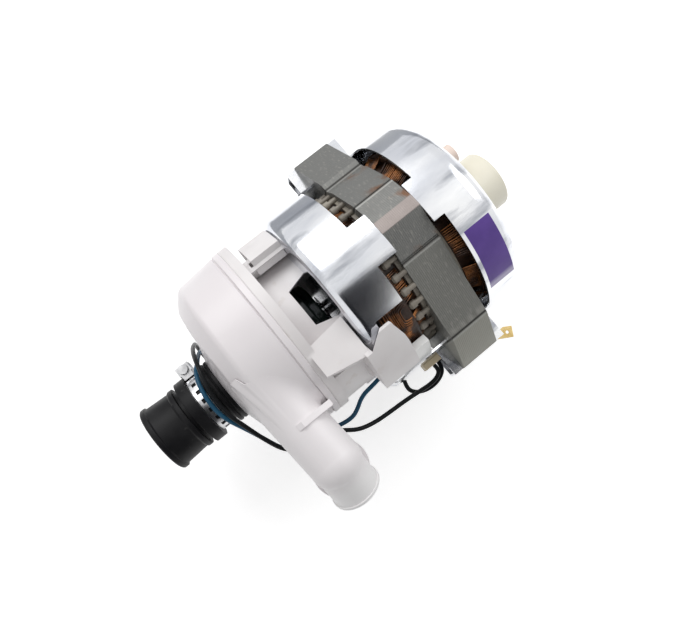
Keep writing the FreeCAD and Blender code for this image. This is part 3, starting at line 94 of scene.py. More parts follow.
JUMPER_ROUTE = [
    (119.6, -57.1, -9.2), (118.4, -60.2, -9.6), (118.6, -63.8, -9.8), (121.4, -66.9, -9.9),
    (127, -69.2, -9.8), (133.4, -69.2, -9.4), (138.4, -67, -8), (140, -63.8, -6),
    (140, -60.95, -5.6)]


def lead(name, route):
    """An insulated wire through its route's points."""
    curve = bpy.data.curves.new(name, "CURVE")
    curve.dimensions = "3D"
    curve.bevel_depth = 1
    curve.bevel_resolution = 4
    curve.resolution_u = 6
    curve.use_fill_caps = True
    spline = curve.splines.new("NURBS")
    spline.points.add(len(route) - 1)
    for point, place in zip(spline.points, route):
        point.co = (place[0] * MM, place[1] * MM, place[2] * MM, 1)
        point.radius = LEAD_RADIUS * MM
    spline.order_u = 3
    spline.use_endpoint_u = True
    wire = bpy.data.objects.new(name, curve)
    bpy.context.scene.collection.objects.link(wire)
    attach(wire, HOUSING)
    return wire


blue_wire = lead("blue_wire", BLUE_ROUTE)
black_wire = lead("black_wire", BLACK_ROUTE)
loop_wire = lead("loop_wire", JUMPER_ROUTE)
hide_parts("blue_lead")
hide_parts("black_lead")
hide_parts("black_jumper")


# Materials
def new_finish(name, colour, rough, metal=0.0, specular=0.5):
    """A plain finish; patterns are added to it below."""
    material = bpy.data.materials.new(name)
    material.use_nodes = True
    shader = material.node_tree.nodes["Principled BSDF"]
    shader.inputs["Base Color"].default_value = (*colour, 1)
    shader.inputs["Roughness"].default_value = rough
    shader.inputs["Metallic"].default_value = metal
    shader.inputs["Specular IOR Level"].default_value = specular
    return material


def add(material, kind, **inputs):
    """A node of the given kind with its inputs set by name."""
    node = material.node_tree.nodes.new(kind)
    for key, value in inputs.items():
        node.inputs[key.replace("_", " ")].default_value = value
    return node


def join(material, source, output, target, entry):
    material.node_tree.links.new(source.outputs[output], target.inputs[entry])


def surface(material):
    return material.node_tree.nodes["Principled BSDF"]


def place_on(material, scale=(1, 1, 1), turn=(0, 0, 0)):
    """Object coordinates, stretched for a pattern that runs along one axis."""
    spot = add(material, "ShaderNodeTexCoord")
    mapping = add(material, "ShaderNodeMapping")
    mapping.inputs["Scale"].default_value = scale
    mapping.inputs["Rotation"].default_value = turn
    join(material, spot, "Object", mapping, "Vector")
    return mapping


def speckle(material, scale, detail=3.0, stretch=(1, 1, 1)):
    mapping = place_on(material, stretch)
    noise = add(material, "ShaderNodeTexNoise", Scale=scale, Detail=detail)
    join(material, mapping, "Vector", noise, "Vector")
    return noise


def ramp(material, source, output, stops):
    """Colours by the value of a pattern: (value, colour) stops."""
    band = add(material, "ShaderNodeValToRGB")
    while len(band.color_ramp.elements) < len(stops):
        band.color_ramp.elements.new(0.5)
    for element, (spot, colour) in zip(band.color_ramp.elements, stops):
        element.position = spot
        element.color = (*colour, 1)
    join(material, source, output, band, "Fac")
    return band


def mottle(material, scale, low, high, detail=3.0, stretch=(1, 1, 1), span=(0.35, 0.65)):
    """The base colour drifts between two close shades."""
    noise = speckle(material, scale, detail, stretch)
    band = ramp(material, noise, "Fac", [(span[0], low), (span[1], high)])
    join(material, band, "Color", surface(material), "Base Color")
    return band


def roughen(material, scale, low, high, stretch=(1, 1, 1), detail=3.0):
    """The gloss drifts between two values."""
    noise = speckle(material, scale, detail, stretch)
    spread = add(material, "ShaderNodeMapRange", To_Min=low, To_Max=high)
    join(material, noise, "Fac", spread, "Value")
    join(material, spread, "Result", surface(material), "Roughness")


def grain(material, scale, height, strength=0.3, stretch=(1, 1, 1), detail=3.0):
    """A fine relief."""
    noise = speckle(material, scale, detail, stretch)
    relief = add(material, "ShaderNodeBump", Strength=strength, Distance=height)
    join(material, noise, "Fac", relief, "Height")
    join(material, relief, "Normal", surface(material), "Normal")
    return relief


def zone(material, axis, low, high, soft=0.0005):
    """White between two places along an axis, in metres, and black beyond."""
    spot = add(material, "ShaderNodeTexCoord")
    parts = add(material, "ShaderNodeSeparateXYZ")
    join(material, spot, "Object", parts, "Vector")
    rise = add(material, "ShaderNodeMapRange", From_Min=low - soft, From_Max=low + soft)
    fall = add(material, "ShaderNodeMapRange", From_Min=high + soft, From_Max=high - soft)
    join(material, parts, axis, rise, "Value")
    join(material, parts, axis, fall, "Value")
    return product(material, (rise, "Result"), (fall, "Result"))


def product(material, first, second):
    """One mask where both masks are white."""
    times = add(material, "ShaderNodeMath")
    times.operation = "MULTIPLY"
    for entry, (source, output) in enumerate((first, second)):
        material.node_tree.links.new(source.outputs[output], times.inputs[entry])
    return times


def tint(material, mask, output, colour):
    """Another colour over the base colour where a mask is white."""
    links = material.node_tree.links
    base = surface(material).inputs["Base Color"]
    mix = add(material, "ShaderNodeMix")
    mix.data_type = "RGBA"
    if base.is_linked:
        links.new(base.links[0].from_socket, mix.inputs[6])
    else:
        mix.inputs[6].default_value = base.default_value
    mix.inputs[7].default_value = (*colour, 1)
    links.new(mask.outputs[output], mix.inputs[0])
    links.new(mix.outputs[2], base)


def patches(material, scale, start, full, detail=4.0, stretch=(1, 1, 1)):
    """A mask of scattered patches, from where a noise passes one value to another."""
    noise = speckle(material, scale, detail, stretch)
    spread = add(material, "ShaderNodeMapRange", From_Min=start, From_Max=full)
    join(material, noise, "Fac", spread, "Value")
    return spread


def moulded(name, low, high, rough, scale=30, relief=0.00008, specular=0.5):
    """Moulded plastic: two close shades, a drifting gloss and a faint grain."""
    material = new_finish(name, low, sum(rough) / 2, specular=specular)
    mottle(material, scale, low, high)
    roughen(material, scale * 2.2, *rough)
    grain(material, 700, relief, 0.12)
    return material


def metal(name, low, high, rough, scale=200, metallic=1.0, stretch=(1, 1, 1), relief=0.00006):
    """Bare metal: two close shades, scuffed gloss and fine scratches."""
    material = new_finish(name, low, sum(rough) / 2, metallic)
    mottle(material, scale, low, high, 4, stretch)
    roughen(material, scale * 1.5, *rough, stretch, 5)
    grain(material, 1400, relief, 0.2, stretch)
    return material


rubber = new_finish("black_rubber_finish", (0.008, 0.008, 0.009), 0.42, specular=0.14)
mottle(rubber, 60, (0.006, 0.006, 0.007), (0.015, 0.015, 0.016))
roughen(rubber, 120, 0.32, 0.55)
grain(rubber, 900, 0.0002, 0.15)
tint(rubber, patches(rubber, 210, 0.68, 0.76, 2), "Result", (0.03, 0.03, 0.03))

clamp_steel = metal("clamp_steel_finish", (0.50, 0.50, 0.51), (0.76, 0.76, 0.77), (0.2, 0.4), 260)

casing_white = new_finish("casing_finish", (0.80, 0.765, 0.775), 0.36)
mottle(casing_white, 18, (0.775, 0.735, 0.75), (0.83, 0.80, 0.81))
# Painted light: the spout end of the casing is tinted whiter, so it looks brighter lit than the
# rest
tint(casing_white, zone(casing_white, "Y", -0.2, -0.0765, 0.004), "Value", (0.86, 0.85, 0.85))
roughen(casing_white, 40, 0.30, 0.45)
grain(casing_white, 700, 0.00008, 0.12)

bracket_white = new_finish("bracket_finish", (0.79, 0.765, 0.765), 0.42)
mottle(bracket_white, 30, (0.73, 0.70, 0.70), (0.82, 0.80, 0.80))
tint(bracket_white, patches(bracket_white, 70, 0.66, 0.80), "Result", (0.62, 0.57, 0.53))
roughen(bracket_white, 60, 0.36, 0.5)
grain(bracket_white, 600, 0.00008, 0.12)

slinger_black = new_finish("slinger_finish", (0.006, 0.009, 0.008), 0.1)
mottle(slinger_black, 80, (0.004, 0.006, 0.006), (0.010, 0.016, 0.014))
roughen(slinger_black, 60, 0.06, 0.16)

# Zinc sheet: bright, slightly blue, with light and dark streaks along the motor that are partly
# drawing marks and partly painted reflection, and gentle waves
zinc = new_finish("zinc_finish", (0.80, 0.81, 0.83), 0.24, 1.0)
# Light and dark mottle: partly drawing marks, partly painted reflection
mottle(zinc, 34, (0.60, 0.62, 0.67), (0.92, 0.925, 0.93), 5, (0.35, 1, 1), (0.36, 0.60))
# Dark streaks: partly drawing marks, partly a painted reflection of dark surroundings
tint(zinc, patches(zinc, 95, 0.55, 0.68, 6, (0.22, 1, 1)), "Result", (0.40, 0.415, 0.45))
roughen(zinc, 46, 0.09, 0.23, (0.3, 1, 1), 6)
waves = speckle(zinc, 30, 2, (0.5, 1, 1))
scratches = speckle(zinc, 620, 4, (0.12, 1, 1))
wave_relief = add(zinc, "ShaderNodeBump", Strength=0.35, Distance=0.0007)
scratch_relief = add(zinc, "ShaderNodeBump", Strength=0.22, Distance=0.00005)
join(zinc, waves, "Fac", wave_relief, "Height")
join(zinc, scratches, "Fac", scratch_relief, "Height")
join(zinc, wave_relief, "Normal", scratch_relief, "Normal")
join(zinc, scratch_relief, "Normal", surface(zinc), "Normal")

# Stack: the cut edges of punched sheets, greyer below, browner and rusty above, with painted shade
# and painted highlights along its grooves
sheet_steel = new_finish("sheet_steel_finish", (0.2, 0.195, 0.185), 0.5, 0.35)
mottle(sheet_steel, 120, (0.175, 0.172, 0.158), (0.275, 0.272, 0.25), 6, (2.5, 1, 1))
LOWER_FACET = (-0.052, -0.0132)
UPPER_FACETS = (-0.0132, 0.1)
SMOOTH_END = (-0.08, -0.0562)
GROOVES_WITH_PAINTED_SHADE = (0.0445, 0.0227, -0.0134, -0.0556)
RUST_SPOTS = ((0.0257, 0.0035), (0.0412, 0.0025), (0.0115, 0.003), (-0.0125, 0.0016))
RUSTY_REAR = (0.158, 0.172)
WELD_SIDE = (0.0024, 0.0092)
WELD_HEIGHT = (0.054, 0.07)
tint(sheet_steel, zone(sheet_steel, "Y", *LOWER_FACET, 0.001), "Value", (0.19, 0.19, 0.175))
tint(sheet_steel, zone(sheet_steel, "Y", *UPPER_FACETS, 0.0005), "Value", (0.175, 0.176, 0.168))
scuffs = patches(sheet_steel, 330, 0.56, 0.72, 3, (3, 1, 1))
tint(sheet_steel, scuffs, "Result", (0.26, 0.255, 0.235))
tint(sheet_steel, zone(sheet_steel, "Y", *SMOOTH_END, 0.0006), "Value", (0.30, 0.298, 0.265))
for place, reach in RUST_SPOTS:
    spots = patches(sheet_steel, 95, 0.46, 0.60, 5)
    spot_zone = zone(sheet_steel, "Y", place - reach, place + reach, 0.0012)
    rust = product(sheet_steel, (spots, "Result"), (spot_zone, "Value"))
    rear_zone = zone(sheet_steel, "X", *RUSTY_REAR, 0.004)
    rust_there = product(sheet_steel, (rust, "Value"), (rear_zone, "Value"))
    tint(sheet_steel, rust_there, "Value", (0.16, 0.068, 0.026))
# Painted shade down each groove, and a painted highlight on the stack just beside it
for place in GROOVES_WITH_PAINTED_SHADE:
    groove_painted_shade = zone(sheet_steel, "Y", place - 0.0005, place + 0.0005, 0.0003)
    tint(sheet_steel, groove_painted_shade, "Value", (0.02, 0.019, 0.017))
    groove_painted_highlight = zone(sheet_steel, "Y", place - 0.0015, place - 0.0009, 0.0003)
    tint(sheet_steel, groove_painted_highlight, "Value", (0.38, 0.38, 0.36))
weld = product(sheet_steel, (zone(sheet_steel, "Y", *WELD_SIDE, 0.0003), "Value"),
               (zone(sheet_steel, "Z", *WELD_HEIGHT, 0.0003), "Value"))
tint(sheet_steel, weld, "Value", (0.30, 0.26, 0.245))
sheet_lines = place_on(sheet_steel)
edges = add(sheet_steel, "ShaderNodeTexWave", Scale=310, Distortion=0.5, Detail=1.0)
edges.bands_direction = "X"
join(sheet_steel, sheet_lines, "Vector", edges, "Vector")
edge_relief = add(sheet_steel, "ShaderNodeBump", Strength=0.4, Distance=0.00012)
join(sheet_steel, edges, "Fac", edge_relief, "Height")
pits = speckle(sheet_steel, 800, 3)
pit_relief = add(sheet_steel, "ShaderNodeBump", Strength=0.4, Distance=0.0002)
join(sheet_steel, pits, "Fac", pit_relief, "Height")
join(sheet_steel, edge_relief, "Normal", pit_relief, "Normal")
join(sheet_steel, pit_relief, "Normal", surface(sheet_steel), "Normal")
roughen(sheet_steel, 240, 0.38, 0.62)

# Windings: dark varnish below and enamelled strands above, both darkened partly as painted shade,
# with orange patches on the strands as painted glints
coil_dark = new_finish("coil_varnish_and_painted_shade_finish", (0.05, 0.022, 0.012), 0.4)
mottle(coil_dark, 160, (0.014, 0.008, 0.006), (0.06, 0.026, 0.012))
grain(coil_dark, 500, 0.0004, 0.5)
# Strands: darkened as painted shade, with orange patches as painted glints
strand_copper = new_finish("strand_finish", (0.22, 0.08, 0.025), 0.28, 0.5)
mottle(strand_copper, 130, (0.035, 0.015, 0.008), (0.36, 0.135, 0.035), 4, span=(0.40, 0.68))
roughen(strand_copper, 300, 0.2, 0.4)

# Insulator pegs: beige, darkened all over as painted shade
shaded_peg_beige = moulded("insulator_painted_shade_finish", (0.16, 0.14, 0.115), (0.34, 0.31, 0.26), (0.36, 0.5), 60)
bolt_steel = metal("bolt_finish", (0.42, 0.42, 0.44), (0.62, 0.62, 0.64), (0.24, 0.4), 150)
shaft_steel = metal("shaft_finish", (0.50, 0.50, 0.51), (0.62, 0.62, 0.63), (0.14, 0.26), 180)
brass = metal("tab_finish", (0.60, 0.43, 0.16), (0.78, 0.60, 0.28), (0.2, 0.36), 260)
cap_cream = moulded("cap_finish", (0.78, 0.745, 0.62), (0.85, 0.82, 0.71), (0.34, 0.48))
peg_cream = moulded("peg_finish", (0.74, 0.60, 0.53), (0.82, 0.70, 0.62), (0.34, 0.48))
holder_white = moulded("holder_finish", (0.82, 0.82, 0.80), (0.88, 0.88, 0.87), (0.28, 0.4))
clip_beige = moulded("clip_finish", (0.54, 0.44, 0.28), (0.64, 0.54, 0.37), (0.36, 0.5))
plug_white = moulded("plug_finish", (0.77, 0.77, 0.75), (0.84, 0.84, 0.82), (0.32, 0.45))
blue_skin = moulded("blue_wire_finish", (0.010, 0.060, 0.115), (0.018, 0.092, 0.165),
                    (0.3, 0.42), 50, specular=0.2)
black_skin = moulded("black_wire_finish", (0.006, 0.007, 0.008), (0.013, 0.014, 0.015),
                     (0.3, 0.42), 50, specular=0.12)
impeller_grey = moulded("impeller_finish", (0.045, 0.045, 0.05), (0.075, 0.075, 0.08), (0.34, 0.46))
cast_alloy = metal("cage_finish", (0.52, 0.52, 0.52), (0.68, 0.68, 0.68), (0.36, 0.52), 90, 0.9)
ceramic = moulded("ceramic_finish", (0.77, 0.75, 0.67), (0.84, 0.82, 0.75), (0.14, 0.24))
carbon = moulded("carbon_finish", (0.015, 0.015, 0.017), (0.03, 0.03, 0.032), (0.36, 0.5))

# Label: bare violet paper, paler towards its lower end
label_violet = moulded("label_finish", (0.075, 0.028, 0.235), (0.105, 0.045, 0.30),
                       (0.26, 0.38), 60, 0.00003)
tint(label_violet, zone(label_violet, "Z", 0.0, 0.0325, 0.0012), "Value", (0.46, 0.42, 0.60))


def dress(piece, *finishes):
    piece.data.materials.clear()
    for item in finishes:
        piece.data.materials.append(item)


dress(blue_wire, blue_skin)
dress(black_wire, black_skin)
dress(loop_wire, black_skin)


# Modelling helpers
def hold(piece):
    """Only this piece is selected and active."""
    bpy.ops.object.select_all(action="DESELECT")
    piece.select_set(True)
    bpy.context.view_layer.objects.active = piece


def apply_all(piece):
    hold(piece)
    for modifier in list(piece.modifiers):
        bpy.ops.object.modifier_apply(modifier=modifier.name)


def ease(piece, radius, steps=2, angle=30, smooth=40):
    """Round the sharp edges and shade the rest smooth."""
    if radius:
        bevel = piece.modifiers.new("ease", "BEVEL")
        bevel.width = radius * MM
        bevel.segments = steps
        bevel.limit_method = "ANGLE"
        bevel.angle_limit = math.radians(angle)
        bevel.use_clamp_overlap = True
        apply_all(piece)
    hold(piece)
    bpy.ops.object.shade_smooth_by_angle(angle=math.radians(smooth))
    flats = piece.modifiers.new("flats", "WEIGHTED_NORMAL")
    flats.keep_sharp = True
    flats.weight = 80
    apply_all(piece)


def eased_copy(node, name, radius, steps=2, angle=30):
    """A copy of a CAD shape, merged, with its edges rounded."""
    piece = bpy.data.objects.new(name, nodes[node].data.copy())
    bpy.context.scene.collection.objects.link(piece)
    hold(piece)
    bpy.ops.object.mode_set(mode="EDIT")
    bpy.ops.mesh.select_all(action="SELECT")
    bpy.ops.mesh.remove_doubles(threshold=0.000002)
    bpy.ops.mesh.dissolve_limited(angle_limit=0.0035)
    bpy.ops.object.mode_set(mode="OBJECT")
    ease(piece, radius, steps, angle)
    return piece


def settle(piece, finish, slot, body, *replaced):
    """Give a piece its finish and its place in the frame."""
    dress(piece, finish)
    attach(piece, body)
    if replaced:
        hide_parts(*replaced)
    return piece


EASED = [
    ("inlet_sleeve", "sleeve_rubber", 0.5, rubber, "black_rubber"),
    ("clamp_band", "clamp_strip", 0.12, clamp_steel, "clamp_steel"),
    ("clamp_housing", "clamp_box", 0.4, clamp_steel, "clamp_steel"),
    ("clamp_screw", "clamp_worm", 0.25, clamp_steel, "clamp_steel"),
    ("inlet_gasket", "front_gasket", 0.4, rubber, "black_rubber"),
    ("volute_casing", "casing_moulding", 0.35, casing_white, "casing_plastic"),
    ("motor_bracket", "bracket_moulding", 0.35, bracket_white, "bracket_plastic"),
    ("front_shield", "front_cover", 0.3, zinc, "zinc_sheet"),
    ("rear_shield", "rear_cover", 0.3, zinc, "zinc_sheet"),
    ("stator_core", "stack_of_sheets", 0.25, sheet_steel, "lamination_steel"),
    ("front_winding", "front_coils", 0, coil_dark, "enamelled_wire"),
    ("rear_winding", "rear_coils", 0, coil_dark, "enamelled_wire"),
    ("front_insulator", "front_pegs", 0.3, shaded_peg_beige, "insulator_plastic"),
    ("rear_insulator", "rear_pegs", 0.3, shaded_peg_beige, "insulator_plastic"),
    ("through_bolts", "long_bolts", 0.3, bolt_steel, "zinc_steel"),
    ("bolt_nuts", "hex_nuts", 0.25, bolt_steel, "zinc_steel"),
    ("spade_terminal", "earth_blade", 0.1, brass, "terminal_brass"),
    ("rear_cap", "rear_boss_cap", 0.4, cap_cream, "cap_plastic"),
    ("rear_peg", "rear_locating_peg", 0.5, peg_cream, "peg_plastic"),
    ("terminal_holder", "terminal_block", 0.4, holder_white, "holder_plastic"),
    ("lead_clip", "wire_clip", 0.4, clip_beige, "clip_plastic"),
    ("lead_plug", "wire_plug", 0.5, plug_white, "plug_plastic"),
]
for node, name, radius, finish_of, slot_of in EASED:
    settle(eased_copy(node, name, radius), finish_of, slot_of, HOUSING, node)
settle(eased_copy("slinger", "air_slinger", 0.3), slinger_black, "black_plastic", ROTOR, "slinger")
settle(eased_copy("shaft", "motor_shaft", 0), shaft_steel, "shaft_steel", ROTOR, "shaft")

# Strands of the windings: nested loops laid on each bundle of end turns
COIL_OUTER = 49.4
COIL_NECK = 45.2
STRAND = 0.44
COILS = 12
LOOPS = 13
CORNER = 5
NECK_END = 5.5
STEP_END = 7
LOOP_STEPS = 18
LOOP_FOOT = 1.2
FIRST_SPREAD = 5
SPREAD_STEP = 1.45
FIRST_REACH = 0.52
REACH_STEP = 0.035
FRONT_FACE = 145.2
FRONT_DEPTH = 24.7
REAR_FACE = 172
REAR_DEPTH = 22.5


def bundle_radius(depth, full_depth):
    """Radius of the bundle at a distance from the stack, all in millimetres."""
    if depth < NECK_END:
        return COIL_NECK
    if depth < STEP_END:
        return COIL_NECK + (COIL_OUTER - COIL_NECK) * (depth - NECK_END) / (STEP_END - NECK_END)
    past = max(0.0, depth - (full_depth - CORNER))
    return COIL_OUTER - CORNER + math.sqrt(max(0.0, CORNER * CORNER - past * past))


def wound(name, stack_face, way, full_depth):
    """Loops of enamelled wire over one end of the stack, joined in one mesh."""
    curve = bpy.data.curves.new(name, "CURVE")
    curve.dimensions = "3D"
    curve.bevel_depth = STRAND * MM
    curve.bevel_resolution = 1
    for coil in range(COILS):
        middle = 360 / COILS * (coil + 0.35)
        for loop in range(LOOPS):
            spread = FIRST_SPREAD + SPREAD_STEP * loop + random.uniform(-0.3, 0.3)
            reach = full_depth * (FIRST_REACH + REACH_STEP * loop) + random.uniform(-0.5, 0.4)
            lift = random.uniform(-0.15, 0.2)
            spline = curve.splines.new("POLY")
            spline.points.add(LOOP_STEPS)
            for number in range(LOOP_STEPS + 1):
                share = -1 + 2 * number / LOOP_STEPS
                depth = LOOP_FOOT + (reach - LOOP_FOOT) * (1 - abs(share) ** 4) ** 0.4
                turn = math.radians(middle + spread * math.sin(share * math.pi / 2))
                radius = bundle_radius(depth, full_depth) + lift
                spline.points[number].co = (
                    (stack_face + way * depth) * MM, -radius * math.sin(turn) * MM,
                    radius * math.cos(turn) * MM, 1)
    piece = bpy.data.objects.new(name, curve)
    bpy.context.scene.collection.objects.link(piece)
    hold(piece)
    bpy.ops.object.convert(target="MESH")
    piece = bpy.context.object
    bpy.ops.object.shade_smooth()
    return piece


for strands in (wound("front_strands", FRONT_FACE, -1, FRONT_DEPTH),
                wound("rear_strands", REAR_FACE, 1, REAR_DEPTH)):
    settle(strands, strand_copper, "enamelled_wire", HOUSING)

# Fillet where the outlet pipe leaves the drum, laid over both, in millimetres
DRUM_SIDE = 6.5
DRUM_LINE = ((43.1, 29.0), (47.2, 34.0), (48.4, 41.0), (50.6, 45.6), (53.4, 48.9),
             (57.0, 50.4), (78.4, 52.3), (90, 52.3))
PIPE_START = Vector((59.7, -5, 28))
PIPE_WAY = Vector((3.6, -60, 0)).normalized()
PIPE_ACROSS = Vector((-PIPE_WAY.y, PIPE_WAY.x, 0))
PIPE_RADIUS = 13.6
FILLET = 5.5
BACKING = 0.4
SMALLEST_FILLET = 0.3
RIM_ROOM = 17.5
FACE_ROOM = 11.6
HALVINGS = 40
FILLET_FROM = 2
FILLET_TO = 134


def drum_radius(station):
    """Outer radius of the drum at a place along the shaft."""
    for (start, first), (end, last) in zip(DRUM_LINE, DRUM_LINE[1:]):
        if start <= station <= end:
            return first + (last - first) * (station - start) / (end - start)
    return 0.0


def pipe_point(turn, radius, run):
    """A point round the pipe's axis, a run from the pipe's start."""
    return (PIPE_START + PIPE_WAY * run + PIPE_ACROSS * (radius * math.cos(turn))
            + Vector((0, 0, radius * math.sin(turn))))


def run_to_drum(turn, radius):
    """How far along the pipe that line leaves the drum."""
    low, high = 0.0, 55.0
    for _ in range(HALVINGS):
        middle = (low + high) / 2
        point = pipe_point(turn, radius, middle)
        if math.hypot(point.y - DRUM_SIDE, point.z) < drum_radius(point.x):
            low = middle
        else:
            high = middle
    return high


def fillet_size(turn):
    """The fillet's reach, less where the drum's rim or front face is near."""
    side = math.cos(turn)
    room = (RIM_ROOM / side if side > 0 else FACE_ROOM / max(-side, 0.001)) - PIPE_RADIUS
    return max(SMALLEST_FILLET, min(FILLET, room))


def face_outwards(piece, smooth):
    """Turn all faces outwards and shade the gentle edges smooth."""
    hold(piece)
    bpy.ops.object.mode_set(mode="EDIT")
    bpy.ops.mesh.select_all(action="SELECT")
    bpy.ops.mesh.normals_make_consistent(inside=False)
    bpy.ops.object.mode_set(mode="OBJECT")
    bpy.ops.object.shade_smooth_by_angle(angle=math.radians(smooth))


bpy.ops.object.select_all(action="DESELECT")
bpy.ops.mesh.primitive_grid_add(x_subdivisions=10, y_subdivisions=72, size=1)
fillet = bpy.context.object
fillet.name = "pipe_root_fillet"
for vertex in fillet.data.vertices:
    turn = math.radians(FILLET_FROM + (FILLET_TO - FILLET_FROM) * (vertex.co.y + 0.5))
    share = vertex.co.x + 0.5
    reach = fillet_size(turn)
    on_drum = pipe_point(turn, PIPE_RADIUS + reach, run_to_drum(turn, PIPE_RADIUS + reach))
    slope = (drum_radius(on_drum.x + 1) - drum_radius(on_drum.x - 1)) / 2
    away = Vector((0, on_drum.y - DRUM_SIDE, on_drum.z)).normalized()
    away = Vector((-slope, away.y, away.z)).normalized()
    line = pipe_point(turn, PIPE_RADIUS, 0)
    meeting_run = run_to_drum(turn, PIPE_RADIUS)
    corner_run = (on_drum - line).dot(away) / max(PIPE_WAY.dot(away), 0.05)
    corner_run = min(max(corner_run, meeting_run), meeting_run + reach)
    corner = line + PIPE_WAY * corner_run
    run_out = min((corner - on_drum).length, 2.5 * reach)
    on_pipe = pipe_point(turn, PIPE_RADIUS - 0.03, corner_run + run_out)
    spot = ((on_drum - away * 0.03) * (1 - share) ** 2 + corner * (2 * share * (1 - share))
            + on_pipe * share ** 2)
    vertex.co = spot * MM
backing = fillet.modifiers.new("backing", "SOLIDIFY")
backing.thickness = BACKING * MM
backing.offset = 1
apply_all(fillet)
face_outwards(fillet, 50)
settle(fillet, casing_white, "casing_plastic", HOUSING)

# Label, bent round the rear shield's side
LABEL_RADIUS = 57.04
LABEL_START = 178.5
LABEL_END = 194
LABEL_TOP = 21
LABEL_BOTTOM = 59
PAPER = 0.12
bpy.ops.object.select_all(action="DESELECT")
bpy.ops.mesh.primitive_grid_add(x_subdivisions=8, y_subdivisions=40, size=1)
label = bpy.context.object
label.name = "side_label"
for vertex in label.data.vertices:
    turn = math.radians(LABEL_TOP + (LABEL_BOTTOM - LABEL_TOP) * (vertex.co.y + 0.5))
    along = LABEL_START + (LABEL_END - LABEL_START) * (vertex.co.x + 0.5)
    side = -LABEL_RADIUS * math.sin(turn)
    height = LABEL_RADIUS * math.cos(turn)
    vertex.co = (along * MM, side * MM, height * MM)
paper = label.modifiers.new("paper", "SOLIDIFY")
paper.thickness = PAPER * MM
paper.offset = 1
apply_all(label)
face_outwards(label, 40)
settle(label, label_violet, "plug_plastic", HOUSING)

PLAIN = {
    "rotor_core": sheet_steel, "rotor_cage": cast_alloy, "impeller": impeller_grey,
    "impeller_shroud": impeller_grey, "impeller_nut": impeller_grey, "seal_ring": carbon,
    "seal_spring": shaft_steel, "seal_seat": ceramic, "seal_boot": rubber, "casing_seal": rubber,
    "front_bearing": shaft_steel, "rear_bearing": shaft_steel}
for node, finish_of in PLAIN.items():
    dress(nodes[node], finish_of)

# Floor: pale, and white to the camera and in reflections
FLOOR_DROP = 0.001
bpy.ops.object.select_all(action="DESELECT")
bpy.ops.mesh.primitive_plane_add(size=6, location=(0.11, 0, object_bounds()[0][2] - FLOOR_DROP))
floor = bpy.context.object
floor.name = "floor"
floor_white = new_finish("floor_finish", (0.86, 0.86, 0.86), 0.9, specular=0.1)
glow = floor_white.node_tree.nodes.new("ShaderNodeEmission")
glow.inputs["Strength"].default_value = 0.5
both = floor_white.node_tree.nodes.new("ShaderNodeAddShader")
pick = floor_white.node_tree.nodes.new("ShaderNodeMixShader")
rays = floor_white.node_tree.nodes.new("ShaderNodeLightPath")
seen = add(floor_white, "ShaderNodeMath")
seen.operation = "MAXIMUM"
seen_all = add(floor_white, "ShaderNodeMath")
seen_all.operation = "MAXIMUM"
tree = floor_white.node_tree.links
tree.new(rays.outputs["Is Camera Ray"], seen.inputs[0])
tree.new(rays.outputs["Is Glossy Ray"], seen.inputs[1])
tree.new(seen.outputs[0], seen_all.inputs[0])
tree.new(rays.outputs["Is Transmission Ray"], seen_all.inputs[1])
tree.new(surface(floor_white).outputs[0], both.inputs[0])
tree.new(glow.outputs[0], both.inputs[1])
tree.new(seen_all.outputs[0], pick.inputs[0])
tree.new(surface(floor_white).outputs[0], pick.inputs[1])
tree.new(both.outputs[0], pick.inputs[2])
tree.new(pick.outputs[0], floor_white.node_tree.nodes["Material Output"].inputs["Surface"])
dress(floor, floor_white)

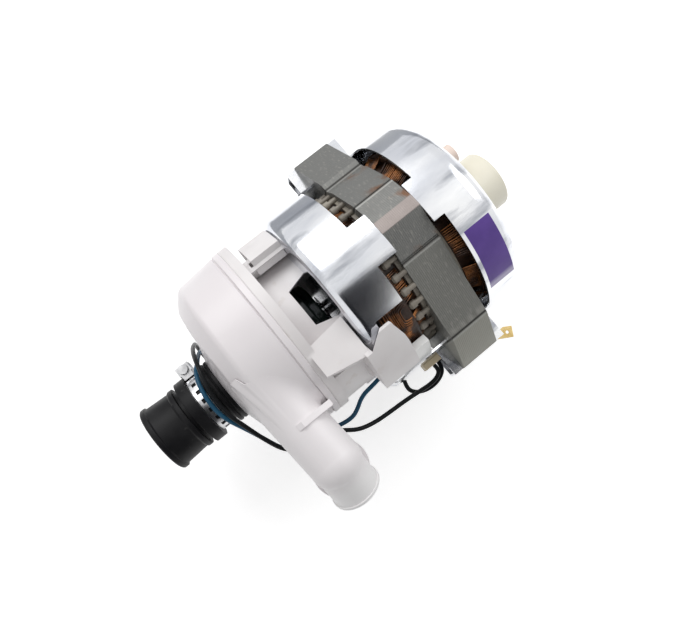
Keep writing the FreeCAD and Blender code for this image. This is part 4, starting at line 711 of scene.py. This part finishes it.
# World and lamps
world = bpy.data.worlds.new("studio")
bpy.context.scene.world = world
world.use_nodes = True
sky = world.node_tree.nodes["Background"]
sky.inputs["Color"].default_value = (1, 1, 1, 1)
sky.inputs["Strength"].default_value = 0.5
seen_sky = world.node_tree.nodes.new("ShaderNodeBackground")
seen_sky.inputs["Color"].default_value = (1, 1, 1, 1)
seen_sky.inputs["Strength"].default_value = 1.0
sky_rays = world.node_tree.nodes.new("ShaderNodeLightPath")
sky_pick = world.node_tree.nodes.new("ShaderNodeMixShader")
sky_links = world.node_tree.links
sky_seen = world.node_tree.nodes.new("ShaderNodeMath")
sky_seen.operation = "MAXIMUM"
sky_links.new(sky_rays.outputs["Is Camera Ray"], sky_seen.inputs[0])
sky_links.new(sky_rays.outputs["Is Glossy Ray"], sky_seen.inputs[1])
sky_links.new(sky_seen.outputs[0], sky_pick.inputs[0])
sky_links.new(sky.outputs[0], sky_pick.inputs[1])
sky_links.new(seen_sky.outputs[0], sky_pick.inputs[2])
sky_links.new(sky_pick.outputs[0], world.node_tree.nodes["World Output"].inputs["Surface"])


def lamp(name, place, target, width, power):
    bpy.ops.object.select_all(action="DESELECT")
    bpy.ops.object.light_add(type="AREA", location=place)
    light = bpy.context.object
    light.name = name
    light.data.size = width
    light.data.energy = power
    aim = Vector(target) - Vector(place)
    light.rotation_euler = aim.to_track_quat("-Z", "Y").to_euler()
    return light


def board(name, finish, place, turn, wide, high):
    """A board beside the object that only shows in reflections."""
    bpy.ops.object.select_all(action="DESELECT")
    bpy.ops.mesh.primitive_plane_add(size=1, location=place, rotation=turn)
    panel = bpy.context.object
    panel.name = name
    panel.scale = (wide, high, 1)
    dress(panel, finish)
    panel.visible_camera = False
    panel.visible_diffuse = False
    panel.visible_shadow = False


card_dark = new_finish("card_finish", (0.03, 0.03, 0.035), 0.9, specular=0.1)
card_grey = new_finish("grey_card_finish", (0.42, 0.43, 0.45), 0.9, specular=0.1)
board("high_board", card_dark, (-0.02, -0.33, 0.6), (0, 0, 0), 0.62, 0.58)
board("side_board", card_dark, (-0.02, -0.62, 0.27), (math.radians(90), 0, 0), 0.62, 0.66)
board("far_board", card_grey, (0.2, 0.45, -0.055), (0, 0, 0), 0.9, 0.6)
lamp("key_lamp", (0.12, 0.62, 0.62), (0.11, 0, 0), 0.55, 3.8)
lamp("fill_lamp", (0.75, 0.05, 0.6), (0.11, 0, 0), 0.5, 1.8)
